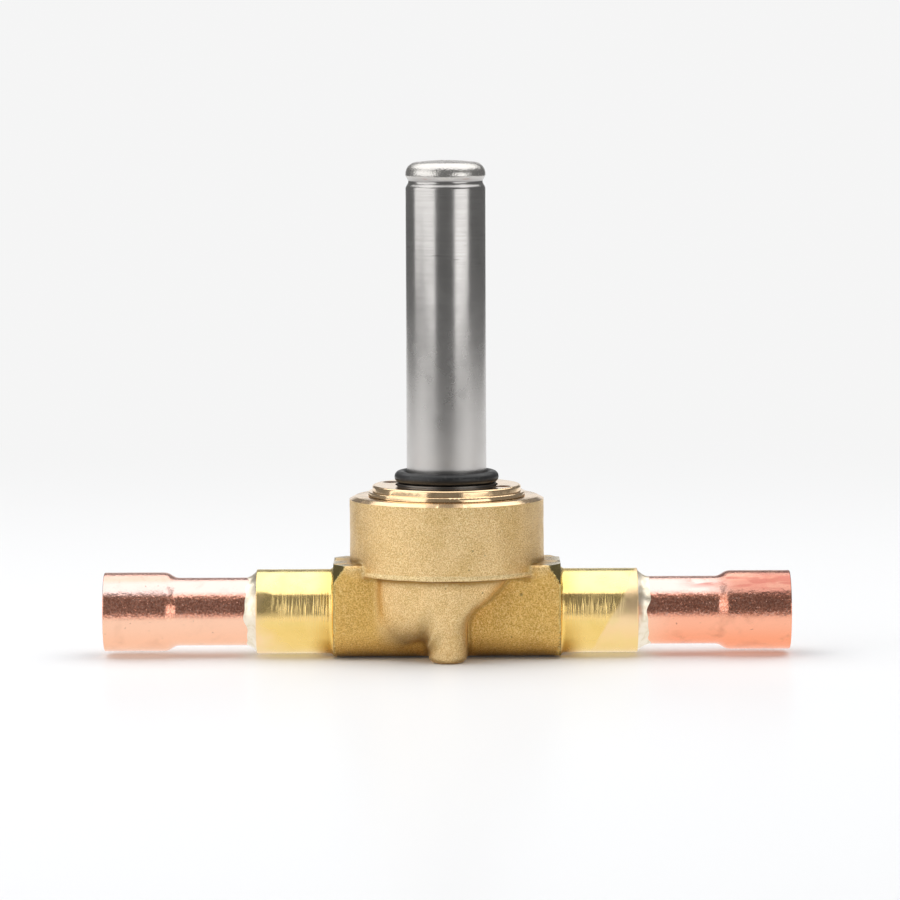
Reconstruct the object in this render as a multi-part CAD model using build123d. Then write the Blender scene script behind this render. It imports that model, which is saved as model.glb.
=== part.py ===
from build123d import *
import os
from math import cos, hypot, radians, sin, sqrt

# Electronic expansion valve for a refrigeration line, in millimetres.
# The ports lie along X and the armature tube stands along Z. Z is zero at the floor under the feet.
# The forging is symmetric about the plane Y = 0, and its port line about X = 0 as well.

# Port line
pipe_d = 12.0                # pipe that is soldered into a stub
solder_gap = 0.05            # between that pipe and the socket's wall
socket_depth = 9.9           # straight part of the socket
swage_length = 3.2           # from the socket down to the neck
stub_reach = 25.9            # from the spigot's end to the stub's open end
stub_neck_d = 11.5
stub_wall = 0.63
stub_rim_r = 0.2             # rounding of the stub's open end
spigot_length = 13.1         # from the barrel's end face
spigot_wall = 1.35           # around the bore for the stub's neck
spigot_chamfer = 0.2
spigot_bore_depth = 9.0      # bore in the spigot that takes the stub's neck
spigot_floor_gap = 0.35      # between spigot and floor
braze_gap = 0.05             # between that bore and the neck
braze_step = 0.3             # the solder's outer edge below the spigot's edge
braze_hollow = 0.15          # how far the solder's face sinks between its edges
inlet_braze_length = 1.2
outlet_braze_length = 1.9

# Forged body
nut_thread_d = 24.0          # the ring nut's thread, which sets the chamber's size
thread_gap = 0.05
chamber_wall = 4.45          # around that thread, at the chamber's top
chamber_draft = 0.15         # how much wider the chamber is at its foot
chamber_top_z = 27.2
chamber_chamfer_w = 0.9
chamber_chamfer_h = 0.5
lip_z = 14.3
lip_edge_r = 0.5
lip_width = 1.05             # from the chamber's foot in to the bowl
barrel_reach = 2.6           # from the chamber's foot out to the barrel's end face
barrel_step = 1.8            # from the lip up to the barrel's flat top
barrel_cheek = 1.4           # from the spigot's side out to the barrel's front
barrel_bottom_z = 0.25
barrel_edge_r = 5.0
barrel_face_rim = 2.9        # from the spigot out to where the turned cone meets the end face
barrel_cone_angle = 45.0     # of the cone turned on the barrel's corners
root_r = 0.8                 # turned root between spigot and end face
bowl_taper = 1.75            # how much narrower the bowl's cone is at the floor than at the lip
bowl_rim_r = 1.35            # rounding of the bowl's and the foot's outline
bowl_lobe_width = 4.3        # the bowl's left part, from the arch to its side
bowl_left_z = 1.0
bowl_left_rise = 0.6         # of its lower edge towards the arch
bowl_left_corner_r = 2.3
bowl_belly_r = 1.6
bowl_right_x = 9.3           # upper end of the slanting crease on the right
bowl_right_drop = 1.9        # of that end below the lip
bowl_right_lean = 1.1
bowl_crease_top_r = 2.0
bowl_crease_foot_r = 2.2
notch_reach = 1.7            # from the foot's side to the middle of the arch
notch_z = 3.6
notch_half_width = 1.6
notch_r = 0.9
foot_half_width = 3.3
foot_root_drop = 1.2         # of the foot's root below the arch
foot_root_flare = 0.15
foot_root_r = 0.8
foot_shoulder_z = 7.6        # where the foot's right side runs into the bowl
foot_shoulder_flare = 0.1
foot_edge_r = 0.7
foot_stock = 3.0             # forged below the floor line and faced off flat
forging_fillet_r = 0.8
lip_fillet_r = 0.4

# Cavity, seat and passages
port_bore_d = 9.0
annulus_ledge = 2.5          # ledge for the gasket, from the thread in to the annulus
annulus_floor_wall = 1.8     # between the port bores and the annulus
seat_boss_rim = 0.3          # around the orifice gasket
seat_boss_h = 2.7
gasket_ledge_rise = 1.7      # from the seat boss up to the gasket's ledge
seat_thread_d = 6.4
drill_d = 4.4                # passage from the inlet bore up to the annulus

# Ring nut
nut_collar_rim = 1.3         # from the thread out to the collar's edge
nut_collar_h = 0.7
nut_collar_gap = 0.1         # the nut's lower end seats first, so its collar stays clear
nut_disc_step = 0.7          # from the collar's edge in to the disc
nut_disc_h = 1.1
nut_edge_r = 0.4
nut_bore_gap = 0.3           # around the flange's hub
pin_hole_d = 2.8
pin_hole_depth = 2.4
pin_hole_rim = 0.2           # between the pin hole and the nut's bore
pin_hole_angle = 336.7       # about Z from +X

# Tube flange and gasket
gasket_t = 0.6
gasket_rim = 0.3             # from the annulus out to the gasket's bore
flange_gap = 0.4             # between flange and thread
flange_t = 2.0
hub_wall = 1.65              # around the tube
hub_rise = 0.3               # of the hub over the nut
hub_chamfer = 0.25
flange_web = 0.9             # web under the tube's lower end
tube_seat_gap = 0.03

# Armature tube
tube_d = 13.5
tube_wall = 0.5
tube_top_z = 84.0
crown_h = 0.3                # rise of the dome's top over its rim
dome_r = 2.0
groove_drop = 3.6            # from the tube's top down to the middle of the groove
groove_depth = 0.45
groove_half_width = 1.15
tube_foot_step = 0.2         # how much narrower the tube's tapered foot is at its end
coil_rest_gap = 0.12         # above the O-ring, where the coil's bore starts

# Fixed core and shading ring
core_gap = 0.05
core_face_drop = 28.0        # from the tube's top down to the core's pole face
core_top_gap = 0.4
core_chamfer = 1.2
shade_inner_d = 8.4
shade_wall = 0.8
shade_depth = 1.4
shade_h = 1.3
shade_gap = 0.05

# Plunger, disc and spring
plunger_gap = 0.1
plunger_stroke = 1.5
pole_gap = 0.2               # left between plunger and core when the valve is open
disc_proud = 0.53            # the disc's face below the plunger's nose
nose_d = 8.8
nose_h = 3.4
nose_cone_h = 1.6
plunger_chamfer = 0.4
slot_width = 1.6
slot_depth = 0.7
slot_count = 2
pocket_wall = 0.9            # of the nose around the retainer's pocket
pocket_depth = 2.2
retainer_gap = 0.04
retainer_wall = 0.8
retainer_lip = 0.4
retainer_lip_t = 0.5
disc_gap = 0.04
seat_gap = 0.02
spring_d = 5.0               # mean diameter
spring_wire = 0.6
spring_turns = 5
spring_length = 17.0
spring_side_gap = 0.5
spring_end_gap = 0.05

# Orifice insert
orifice_d = 1.6
orifice_land = 1.4
insert_bore_d = 3.6
insert_gap = 0.05
insert_length = 4.0          # thread below the hexagon's gasket
hexagon_af = 7.8
hexagon_h = 1.1
seat_lip_d = 3.4
seat_lip_h = 0.4
orifice_gasket_t = 0.4
orifice_gasket_rim = 1.1     # around the insert's thread

# O-ring for the coil
o_ring_section = 2.05
o_ring_gap = 0.03            # above the hub and around the tube

# Inlet strainer
strainer_ring_t = 0.8
strainer_ring_gap = 0.05
screen_d = 7.2
screen_wall = 0.25
screen_length = 11.0
screen_hole_d = 1.6
screen_row_count = 3
screen_hole_count = 6        # around each row
screen_gap = 0.03

# Modelling allowances
past = 1.0                   # a cutter runs this far past the faces that it opens
merge = 0.1                  # joined solids reach this far into each other
near = 0.01                  # two places closer than this count as the same
near_cone = 0.05             # the same for edges that the cone's cut leaves as splines

# Worked out from the sizes above
socket_r = pipe_d / 2 + solder_gap
cup_r = socket_r + stub_wall
neck_r = stub_neck_d / 2
neck_bore_r = neck_r + braze_gap
spigot_r = neck_bore_r + spigot_wall
port_axis_z = spigot_r + spigot_floor_gap
port_bore_r = port_bore_d / 2
nut_thread_r = nut_thread_d / 2
chamber_top_r = nut_thread_r + chamber_wall
chamber_foot_r = chamber_top_r + chamber_draft
barrel_end_x = chamber_foot_r + barrel_reach
barrel_half_width = spigot_r + barrel_cheek
barrel_top_z = lip_z + barrel_step
barrel_face_r = spigot_r + barrel_face_rim
spigot_end_x = barrel_end_x + spigot_length
stub_end_x = spigot_end_x + stub_reach
shoulder_x = spigot_end_x - spigot_bore_depth
bowl_lip_r = chamber_foot_r - lip_width
bowl_floor_r = bowl_lip_r - bowl_taper
bowl_slope = bowl_taper / lip_z
bowl_top_z = lip_z + lip_edge_r + past
arch_x = foot_half_width + notch_reach
seat_thread_r = seat_thread_d / 2
orifice_gasket_r = seat_thread_r + orifice_gasket_rim
seat_boss_r = orifice_gasket_r + seat_boss_rim
annulus_r = nut_thread_r - annulus_ledge
annulus_floor_z = port_axis_z + port_bore_r + annulus_floor_wall
seat_boss_top_z = annulus_floor_z + seat_boss_h
gasket_ledge_z = seat_boss_top_z + gasket_ledge_rise
gasket_top_z = gasket_ledge_z + gasket_t
flange_top_z = gasket_top_z + flange_t
flange_r = nut_thread_r - flange_gap
drill_r = drill_d / 2
drill_x = (annulus_r + seat_boss_r) / 2
nut_collar_r = nut_thread_r + nut_collar_rim
nut_disc_r = nut_collar_r - nut_disc_step
nut_collar_z = chamber_top_z + nut_collar_gap
nut_disc_z = nut_collar_z + nut_collar_h
nut_top_z = nut_disc_z + nut_disc_h
tube_r = tube_d / 2
tube_inner_r = tube_r - tube_wall
tube_bottom_z = gasket_top_z + flange_web
tube_foot_r = tube_r - tube_foot_step
hub_r = tube_r + hub_wall
hub_top_z = nut_top_z + hub_rise
o_ring_z = hub_top_z + o_ring_gap + o_ring_section / 2
coil_seat_z = o_ring_z + o_ring_section / 2 + coil_rest_gap
foot_taper = tube_foot_step / (coil_seat_z - tube_bottom_z)
hub_bore_r = tube_foot_r + tube_seat_gap
hub_mouth_r = hub_bore_r + foot_taper * (hub_top_z - tube_bottom_z)
nut_bore_r = hub_r + nut_bore_gap
pin_hole_r = pin_hole_d / 2
pin_circle_r = nut_bore_r + pin_hole_rim + pin_hole_r
groove_z = tube_top_z - groove_drop
core_face_z = tube_top_z - core_face_drop
shade_inner_r = shade_inner_d / 2
shade_outer_r = shade_inner_r + shade_wall
hexagon_z = seat_boss_top_z + orifice_gasket_t
seat_z = hexagon_z + hexagon_h + seat_lip_h
plunger_r = tube_inner_r - plunger_gap
plunger_bottom_z = seat_z + seat_gap + disc_proud
plunger_top_z = core_face_z - pole_gap - plunger_stroke
nose_r = nose_d / 2
pocket_r = nose_r - pocket_wall
retainer_r = pocket_r - retainer_gap
disc_r = retainer_r - retainer_wall - disc_gap
spring_seat_z = core_face_z - spring_length - 2 * spring_end_gap
spring_bore_r = (spring_d + spring_wire) / 2 + spring_side_gap

os.makedirs("parts", exist_ok=True)

port_axis = Axis((0, 0, port_axis_z), (1, 0, 0))


def turned(profile, axis=Axis.Z):
    """Revolve a closed outline, drawn in the XZ plane from its 2-D points, about an axis."""
    return revolve(Plane.XZ * profile, axis)


def tube_ring(outer_r, inner_r, low_z, high_z):
    """Plain ring about Z."""
    height = high_z - low_z
    ring = Cylinder(outer_r, height) - Cylinder(inner_r, height)
    return Pos(0, 0, (low_z + high_z) / 2) * ring


def rod(radius, low_z, high_z, x=0, y=0):
    """Plain cylinder about a line along Z."""
    return Pos(x, y, (low_z + high_z) / 2) * Cylinder(radius, high_z - low_z)


def port_rod(radius, from_x, to_x):
    """Plain cylinder about the port axis."""
    length = abs(to_x - from_x)
    return Pos((from_x + to_x) / 2, 0, port_axis_z) * Rot(0, 90, 0) * Cylinder(radius, length)


def port_turned(*points):
    """Revolve a polygon of (x, radius) points about the port axis."""
    raised = [(x, port_axis_z + radius) for x, radius in points]
    return turned(make_face(Polyline(*raised, close=True)), port_axis)


def s_curve(start, end, tangent):
    """Two equal tangent arcs between two points whose ends both run along the tangent."""
    middle = ((start[0] + end[0]) / 2, (start[1] + end[1]) / 2)
    lower = TangentArc(start, middle, tangent=tangent)
    return lower + TangentArc(middle, end, tangent=lower % 1)


def forged_barrels():
    """Both port barrels as one bar with rounded lower edges, turned to a cone at the end corners."""
    bar = Box(2 * barrel_end_x, 2 * barrel_half_width, barrel_top_z - barrel_bottom_z)
    bar = Pos(0, 0, (barrel_top_z + barrel_bottom_z) / 2) * bar
    lower_edges = bar.edges().filter_by(Axis.X).group_by(Axis.Z)[0]
    bar = fillet(lower_edges, barrel_edge_r)
    slope = sin(radians(barrel_cone_angle)) / cos(radians(barrel_cone_angle))
    middle_r = barrel_face_r + barrel_end_x * slope
    cone = port_turned(
        (-barrel_end_x, 0),
        (-barrel_end_x, barrel_face_r),
        (0, middle_r),
        (barrel_end_x, barrel_face_r),
        (barrel_end_x, 0),
    )
    return bar & cone


def chamber():
    """Round chamber above the lip, with slight draft and a turned chamfer at its top."""
    shell = FilletPolyline(
        (0, lip_z),
        (chamber_foot_r, lip_z),
        (chamber_top_r, chamber_top_z - chamber_chamfer_h),
        (chamber_top_r - chamber_chamfer_w, chamber_top_z),
        (0, chamber_top_z),
        radius=[lip_edge_r, 0, 0],
    )
    return turned(make_face(shell + Line((0, chamber_top_z), (0, lip_z))))


def bowl_outline():
    """Front view of the bowl under the lip with the foot that grows out of it."""
    left_x = arch_x + notch_half_width + bowl_lobe_width
    start = (-left_x, bowl_top_z)
    end = (bowl_right_x + bowl_right_lean, bowl_top_z)
    edge = FilletPolyline(
        start,
        (-left_x, bowl_left_z),
        (-arch_x - notch_half_width, bowl_left_z + bowl_left_rise),
        (-arch_x, notch_z),
        (-foot_half_width - foot_root_flare, notch_z - foot_root_drop),
        (-foot_half_width, -foot_stock),
        (foot_half_width, -foot_stock),
        (foot_half_width + foot_shoulder_flare, foot_shoulder_z),
        (bowl_right_x, lip_z - bowl_right_drop),
        end,
        radius=[
            min(bowl_left_corner_r, bowl_lobe_width / 2),
            bowl_belly_r,
            notch_r,
            foot_root_r,
            0,
            0,
            bowl_crease_foot_r,
            bowl_crease_top_r,
        ],
    )
    return make_face(edge + Line(end, start))


def bowl():
    """Cone below the lip, cut to the bowl's outline, its rim rounded."""
    low_r = bowl_floor_r - bowl_slope * foot_stock
    top_r = bowl_floor_r + bowl_slope * bowl_top_z
    side = Polyline((0, -foot_stock), (low_r, -foot_stock), (top_r, bowl_top_z), (0, bowl_top_z), close=True)
    depth = chamber_foot_r + past
    body = turned(make_face(side)) & extrude(Plane.XZ * bowl_outline(), amount=depth, both=True)
    rim = []
    for edge in body.edges():
        middle = edge @ 0.5
        from_cone = abs(hypot(middle.X, middle.Y) - bowl_floor_r - bowl_slope * middle.Z)
        if near - foot_stock < middle.Z < bowl_top_z - near and from_cone < near_cone:
            rim.append(edge)
    return fillet(rim, bowl_rim_r)


def forging():
    """Barrels, bowl and chamber as one forging, with its inner corners rounded and its foot faced."""
    barrels = forged_barrels()
    belly = bowl()
    lower = barrels + belly
    seams = [
        edge
        for edge in new_edges(barrels, belly, combined=lower)
        if (edge @ 0.5).Z < bowl_top_z - near
    ]
    lower = fillet(seams, forging_fillet_r)
    stock = Box(4 * chamber_foot_r, 4 * chamber_foot_r, foot_stock + past)
    lower -= Pos(0, 0, -(foot_stock + past) / 2) * stock
    tips = [
        edge
        for edge in lower.edges().group_by(Axis.Z)[0]
        if abs((edge @ 0.5).Y) > barrel_half_width + near
    ]
    lower = fillet(tips, foot_edge_r)
    drum = chamber()
    body = lower + drum
    return fillet(new_edges(lower, drum, combined=body), lip_fillet_r)


def spigot(side):
    """Turned spigot with its root on the barrel's end face, no lower than the barrel."""
    root_x = barrel_end_x + root_r
    root_top = port_axis_z + spigot_r + root_r
    bend = root_r * sin(radians(45))
    curve = ThreePointArc(
        (side * barrel_end_x, root_top),
        (side * (root_x - bend), root_top - bend),
        (side * root_x, port_axis_z + spigot_r),
    )
    rest = Polyline(
        (side * root_x, port_axis_z + spigot_r),
        (side * (spigot_end_x - spigot_chamfer), port_axis_z + spigot_r),
        (side * spigot_end_x, port_axis_z + spigot_r - spigot_chamfer),
        (side * spigot_end_x, port_axis_z),
        (side * (barrel_end_x - past), port_axis_z),
        (side * (barrel_end_x - past), root_top),
        (side * barrel_end_x, root_top),
    )
    below = Pos(0, 0, barrel_bottom_z - past) * Box(2 * stub_end_x, 2 * barrel_face_r, 2 * past)
    return turned(make_face(curve + rest), port_axis) - below


def chamber_cavity():
    """Space for nut, gasket and flange, with the annulus round the seat boss below."""
    upper = rod(nut_thread_r + thread_gap, gasket_ledge_z, chamber_top_z + past)
    annulus = tube_ring(annulus_r, seat_boss_r, annulus_floor_z, seat_boss_top_z)
    over_boss = rod(annulus_r, seat_boss_top_z, gasket_ledge_z)
    return [upper, annulus, over_boss]


def passages():
    """Port bores, the drilling up to the annulus and the threaded hole down to the outlet."""
    neck_bores = [port_rod(neck_bore_r, side * shoulder_x, side * (spigot_end_x + past)) for side in (-1, 1)]
    inlet = port_rod(port_bore_r, -shoulder_x - past, drill_r - drill_x)
    outlet = port_rod(port_bore_r, -seat_thread_r, shoulder_x + past)
    up = rod(drill_r, port_axis_z, annulus_floor_z + past, x=-drill_x)
    down = rod(seat_thread_r, port_axis_z, seat_boss_top_z + past)
    return neck_bores + [inlet, outlet, up, down]


def valve_body():
    body = forging()
    for side in (-1, 1):
        body += spigot(side)
    for hollow in chamber_cavity() + passages():
        body -= hollow
    return body


def stub(side, inner_end_x):
    """Copper stub with its socket swaged up from the neck."""
    outer = stub_line(cup_r, neck_r, inner_end_x)
    inner = stub_line(cup_r - stub_wall, neck_r - stub_wall, inner_end_x)
    wall = outer + Line(outer @ 1, inner @ 1) + inner + Line(inner @ 0, outer @ 0)
    tube = turned(make_face(wall), Axis((0, 0, 0), (1, 0, 0)))
    tube = fillet(tube.edges().filter_by(GeomType.CIRCLE).group_by(Axis.X)[-1], stub_rim_r)
    turn = 0 if side > 0 else 180
    return Pos(0, 0, port_axis_z) * Rot(0, 0, turn) * tube


def stub_line(socket, neck, inner_end_x):
    """One wall line of a stub, from its inner end over the swage to the open end, as (x, radius)."""
    swage_start = stub_end_x - socket_depth - swage_length
    swage_end = stub_end_x - socket_depth
    return (
        Line((inner_end_x, neck), (swage_start, neck))
        + s_curve((swage_start, neck), (swage_end, socket), (1, 0))
        + Line((swage_end, socket), (stub_end_x, socket))
    )


def braze(side, length):
    """Solder fillet between the spigot's end face and the stub's neck."""
    top = port_axis_z + spigot_r - braze_step
    low = port_axis_z + neck_r
    start = side * spigot_end_x
    end = side * (spigot_end_x + length)
    belly = ((start + end) / 2, (top + low) / 2 - braze_hollow)
    curve = ThreePointArc((start, top), belly, (end, low))
    return turned(make_face(curve + Polyline((end, low), (start, low), (start, top))), port_axis)


def ring_nut():
    """Nut with a thread below, a collar on the body and a disc with two blind pin-spanner holes."""
    edge = FilletPolyline(
        (nut_bore_r, flange_top_z),
        (nut_thread_r, flange_top_z),
        (nut_thread_r, nut_collar_z),
        (nut_collar_r, nut_collar_z),
        (nut_collar_r, nut_disc_z),
        (nut_disc_r, nut_disc_z),
        (nut_disc_r, nut_top_z),
        (nut_bore_r, nut_top_z),
        radius=[0, 0, 0, nut_edge_r / 2, 0, nut_edge_r],
    )
    nut = turned(make_face(edge + Line((nut_bore_r, nut_top_z), (nut_bore_r, flange_top_z))))
    for turn in (0, 180):
        angle = radians(pin_hole_angle + turn)
        x = pin_circle_r * cos(angle)
        y = pin_circle_r * sin(angle)
        nut -= rod(pin_hole_r, nut_top_z - pin_hole_depth, nut_top_z + past, x=x, y=y)
    return nut


def tube_flange():
    """Steel flange under the nut, with the hub that holds the tube."""
    profile = Polyline(
        (tube_inner_r, gasket_top_z),
        (flange_r, gasket_top_z),
        (flange_r, flange_top_z),
        (hub_r, flange_top_z),
        (hub_r, hub_top_z - hub_chamfer),
        (hub_r - hub_chamfer, hub_top_z),
        (hub_mouth_r, hub_top_z),
        (hub_bore_r, tube_bottom_z),
        (tube_inner_r, tube_bottom_z),
        close=True,
    )
    return turned(make_face(profile))


def dome_line(radius, low_z, rim_z, corner_r):
    """Half outline of a closed tube or core from its wall's foot over the groove to the crown."""
    groove_r = radius - groove_depth
    foot = s_curve((radius, groove_z - groove_half_width), (groove_r, groove_z), (0, 1))
    head = s_curve((groove_r, groove_z), (radius, groove_z + groove_half_width), (0, 1))
    corner = TangentArc((radius, rim_z - corner_r), (radius - corner_r, rim_z), tangent=(0, 1))
    flat_r = radius - corner_r
    ball_r = (flat_r**2 + crown_h**2) / (2 * crown_h)
    middle_z = rim_z + crown_h - ball_r + sqrt(ball_r**2 - flat_r**2 / 4)
    crown = ThreePointArc((flat_r, rim_z), (flat_r / 2, middle_z), (0, rim_z + crown_h))
    return (
        Line((radius, low_z), (radius, groove_z - groove_half_width))
        + foot
        + head
        + Line((radius, groove_z + groove_half_width), (radius, rim_z - corner_r))
        + corner
        + crown
    )


def armature_tube():
    """Deep-drawn closed tube with a tapered foot and the groove rolled in round the core."""
    rim_z = tube_top_z - crown_h
    outer = dome_line(tube_r, tube_bottom_z, rim_z, dome_r)
    inner = dome_line(tube_inner_r, tube_bottom_z - past, rim_z - tube_wall, dome_r - tube_wall)
    solids = []
    for line in (outer, inner):
        foot = line @ 0
        crown = line @ 1
        solids.append(turned(make_face(line + Polyline(crown, (0, foot.Y), foot))))
    foot_side = Polyline(
        (tube_foot_r, tube_bottom_z - past),
        (tube_r + past, tube_bottom_z - past),
        (tube_r + past, coil_seat_z),
        (tube_r, coil_seat_z),
        (tube_foot_r, tube_bottom_z),
        close=True,
    )
    return solids[0] - solids[1] - turned(make_face(foot_side))


def fixed_core():
    """Magnetic core with a groove that the tube is rolled into and a slot for the shading ring."""
    radius = tube_inner_r - core_gap
    top_z = tube_top_z - crown_h - tube_wall - core_top_gap
    groove_r = radius - groove_depth
    side = (
        Line((radius, core_face_z), (radius, groove_z - groove_half_width))
        + s_curve((radius, groove_z - groove_half_width), (groove_r, groove_z), (0, 1))
        + s_curve((groove_r, groove_z), (radius, groove_z + groove_half_width), (0, 1))
    )
    rest = Polyline(
        (radius, groove_z + groove_half_width),
        (radius - core_chamfer, top_z),
        (0, top_z),
        (0, core_face_z),
        (radius, core_face_z),
    )
    core = turned(make_face(side + rest))
    return core - tube_ring(shade_outer_r, shade_inner_r, core_face_z - past, core_face_z + shade_depth)


def shading_ring():
    """Copper ring in the core's pole face."""
    return tube_ring(
        shade_outer_r - shade_gap, shade_inner_r + shade_gap, core_face_z, core_face_z + shade_h
    )


def plunger():
    """Moving armature with a nose for the disc, a bore for the spring and slots for the fluid."""
    nose_z = plunger_bottom_z + nose_h
    outline = Polyline(
        (0, plunger_bottom_z),
        (nose_r, plunger_bottom_z),
        (nose_r, nose_z),
        (plunger_r, nose_z + nose_cone_h),
        (plunger_r, plunger_top_z - plunger_chamfer),
        (plunger_r - plunger_chamfer, plunger_top_z),
        (0, plunger_top_z),
        close=True,
    )
    body = turned(make_face(outline))
    body -= rod(pocket_r, plunger_bottom_z - past, plunger_bottom_z + pocket_depth)
    body -= rod(spring_bore_r, spring_seat_z, plunger_top_z + past)
    height = plunger_top_z - plunger_bottom_z + 2 * past
    for index in range(slot_count):
        slot = Box(2 * slot_depth, slot_width, height)
        slot = Pos(plunger_r, 0, (plunger_top_z + plunger_bottom_z) / 2) * slot
        body -= Rot(0, 0, 360 * index / slot_count) * slot
    return body


def disc_retainer():
    """Ring pressed into the plunger's nose, with a lip that holds the disc."""
    low = plunger_bottom_z
    top = plunger_bottom_z + pocket_depth - retainer_gap
    inner_r = retainer_r - retainer_wall
    profile = Polyline(
        (inner_r - retainer_lip, low),
        (retainer_r, low),
        (retainer_r, top),
        (inner_r, top),
        (inner_r, low + retainer_lip_t),
        (inner_r - retainer_lip, low + retainer_lip_t),
        close=True,
    )
    return turned(make_face(profile))


def seat_disc():
    """Soft disc that closes the orifice, stepped to sit behind the retainer's lip."""
    face_r = disc_r - retainer_lip
    step_z = plunger_bottom_z + retainer_lip_t + disc_gap
    top = plunger_bottom_z + pocket_depth - disc_gap
    return rod(face_r, seat_z + seat_gap, step_z + merge) + rod(disc_r, step_z, top)


def closing_spring():
    """Compression spring between the plunger's bore and the core's face."""
    low = spring_seat_z + spring_end_gap + spring_wire / 2
    high = core_face_z - spring_end_gap - spring_wire / 2
    height = high - low
    path = Helix(pitch=height / spring_turns, height=height, radius=spring_d / 2, center=(0, 0, low))
    section = Plane(origin=path @ 0, z_dir=path % 0) * Circle(spring_wire / 2)
    return sweep(section, path)


def orifice_seat():
    """Insert screwed into the seat boss, with a hexagon, a raised seat and the metering orifice."""
    low = seat_boss_top_z - insert_length
    insert = rod(seat_thread_r - insert_gap, low, hexagon_z)
    hexagon = extrude(RegularPolygon(hexagon_af / 2, 6, major_radius=False), hexagon_h)
    insert += Pos(0, 0, hexagon_z) * hexagon
    insert += rod(seat_lip_d / 2, hexagon_z + hexagon_h - merge, seat_z)
    insert -= rod(orifice_d / 2, low - past, seat_z + past)
    return insert - rod(insert_bore_d / 2, low - past, seat_z - orifice_land)


def orifice_gasket():
    return tube_ring(orifice_gasket_r, seat_thread_r, seat_boss_top_z, hexagon_z)


def flange_gasket():
    return tube_ring(flange_r, annulus_r + gasket_rim, gasket_ledge_z, gasket_top_z)


def coil_o_ring():
    """O-ring round the tube's foot, lying on the hub."""
    section_r = o_ring_section / 2
    return Pos(0, 0, o_ring_z) * Torus(tube_r + o_ring_gap + section_r, section_r)


def strainer_ring():
    """Flange of the strainer, clamped between the spigot's shoulder and the inlet stub."""
    end_x = -shoulder_x - strainer_ring_t
    ring = port_rod(neck_bore_r - strainer_ring_gap, -shoulder_x, end_x)
    return ring - port_rod(screen_d / 2 + screen_gap, past - shoulder_x, end_x - past)


def strainer_screen():
    """Perforated cup through the ring, its closed end towards the passage."""
    mouth_x = -shoulder_x - strainer_ring_t
    end_x = mouth_x + screen_length
    cup = port_rod(screen_d / 2, mouth_x, end_x) - port_rod(
        screen_d / 2 - screen_wall, mouth_x - past, end_x - screen_wall
    )
    first_x = -shoulder_x + screen_hole_d
    step = (end_x - screen_hole_d - first_x) / (screen_row_count - 1)
    for row in range(screen_row_count):
        for index in range(screen_hole_count // 2):
            angle = 360 * (index + 0.5 * (row % 2)) / screen_hole_count
            hole = Cylinder(screen_hole_d / 2, screen_d + 2 * past)
            cup -= Pos(first_x + row * step, 0, port_axis_z) * Rot(angle, 0, 0) * hole
    return cup


parts = {
    "valve_body": valve_body(),
    "ring_nut": ring_nut(),
    "tube_flange": tube_flange(),
    "flange_gasket": flange_gasket(),
    "armature_tube": armature_tube(),
    "coil_o_ring": coil_o_ring(),
    "fixed_core": fixed_core(),
    "shading_ring": shading_ring(),
    "plunger": plunger(),
    "disc_retainer": disc_retainer(),
    "seat_disc": seat_disc(),
    "closing_spring": closing_spring(),
    "orifice_seat": orifice_seat(),
    "orifice_gasket": orifice_gasket(),
    "inlet_stub": stub(-1, shoulder_x + strainer_ring_t),
    "outlet_stub": stub(1, shoulder_x),
    "inlet_braze": braze(-1, inlet_braze_length),
    "outlet_braze": braze(1, outlet_braze_length),
    "strainer_ring": strainer_ring(),
    "strainer_screen": strainer_screen(),
}
for name, solid in parts.items():
    export_step(solid, f"parts/{name}.step")
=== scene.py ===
from math import cos, pi, radians

import bpy
import numpy as np
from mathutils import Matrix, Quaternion, Vector


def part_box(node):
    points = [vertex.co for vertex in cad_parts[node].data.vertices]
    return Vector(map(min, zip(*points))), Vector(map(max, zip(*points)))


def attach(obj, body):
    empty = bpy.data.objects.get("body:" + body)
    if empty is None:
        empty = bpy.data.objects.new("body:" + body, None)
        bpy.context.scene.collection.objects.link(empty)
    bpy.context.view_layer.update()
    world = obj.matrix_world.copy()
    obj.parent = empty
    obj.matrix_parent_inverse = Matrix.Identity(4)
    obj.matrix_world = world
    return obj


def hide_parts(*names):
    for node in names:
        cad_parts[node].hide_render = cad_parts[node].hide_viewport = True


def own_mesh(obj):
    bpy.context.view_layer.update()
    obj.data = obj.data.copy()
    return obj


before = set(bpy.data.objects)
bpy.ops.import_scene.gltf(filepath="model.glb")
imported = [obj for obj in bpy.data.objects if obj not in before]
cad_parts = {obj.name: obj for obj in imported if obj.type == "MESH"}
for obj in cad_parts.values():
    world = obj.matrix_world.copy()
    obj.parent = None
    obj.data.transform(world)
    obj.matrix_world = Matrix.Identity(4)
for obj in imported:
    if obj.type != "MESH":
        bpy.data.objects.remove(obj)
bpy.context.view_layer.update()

# Looks of an electronic expansion valve: a forged brass body between two copper stubs, a ring nut,
# a steel armature tube and an O-ring. Metres, with Z up, the ports along X and the camera on the -Y side.

bl_info = {
    "name": "Expansion valve looks",
    "version": (1, 0, 0),
    "blender": (4, 5, 0),
    "location": "3D View > Sidebar > Valve",
    "description": "Builds the turned, forged and soldered surfaces of an expansion valve over its frame",
    "category": "Object",
}

MM = 0.001
HOUSING = "housing"
AXIS_Z = "Z"
AXIS_X = "X"
LEFT, RIGHT = -1, 1

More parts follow.
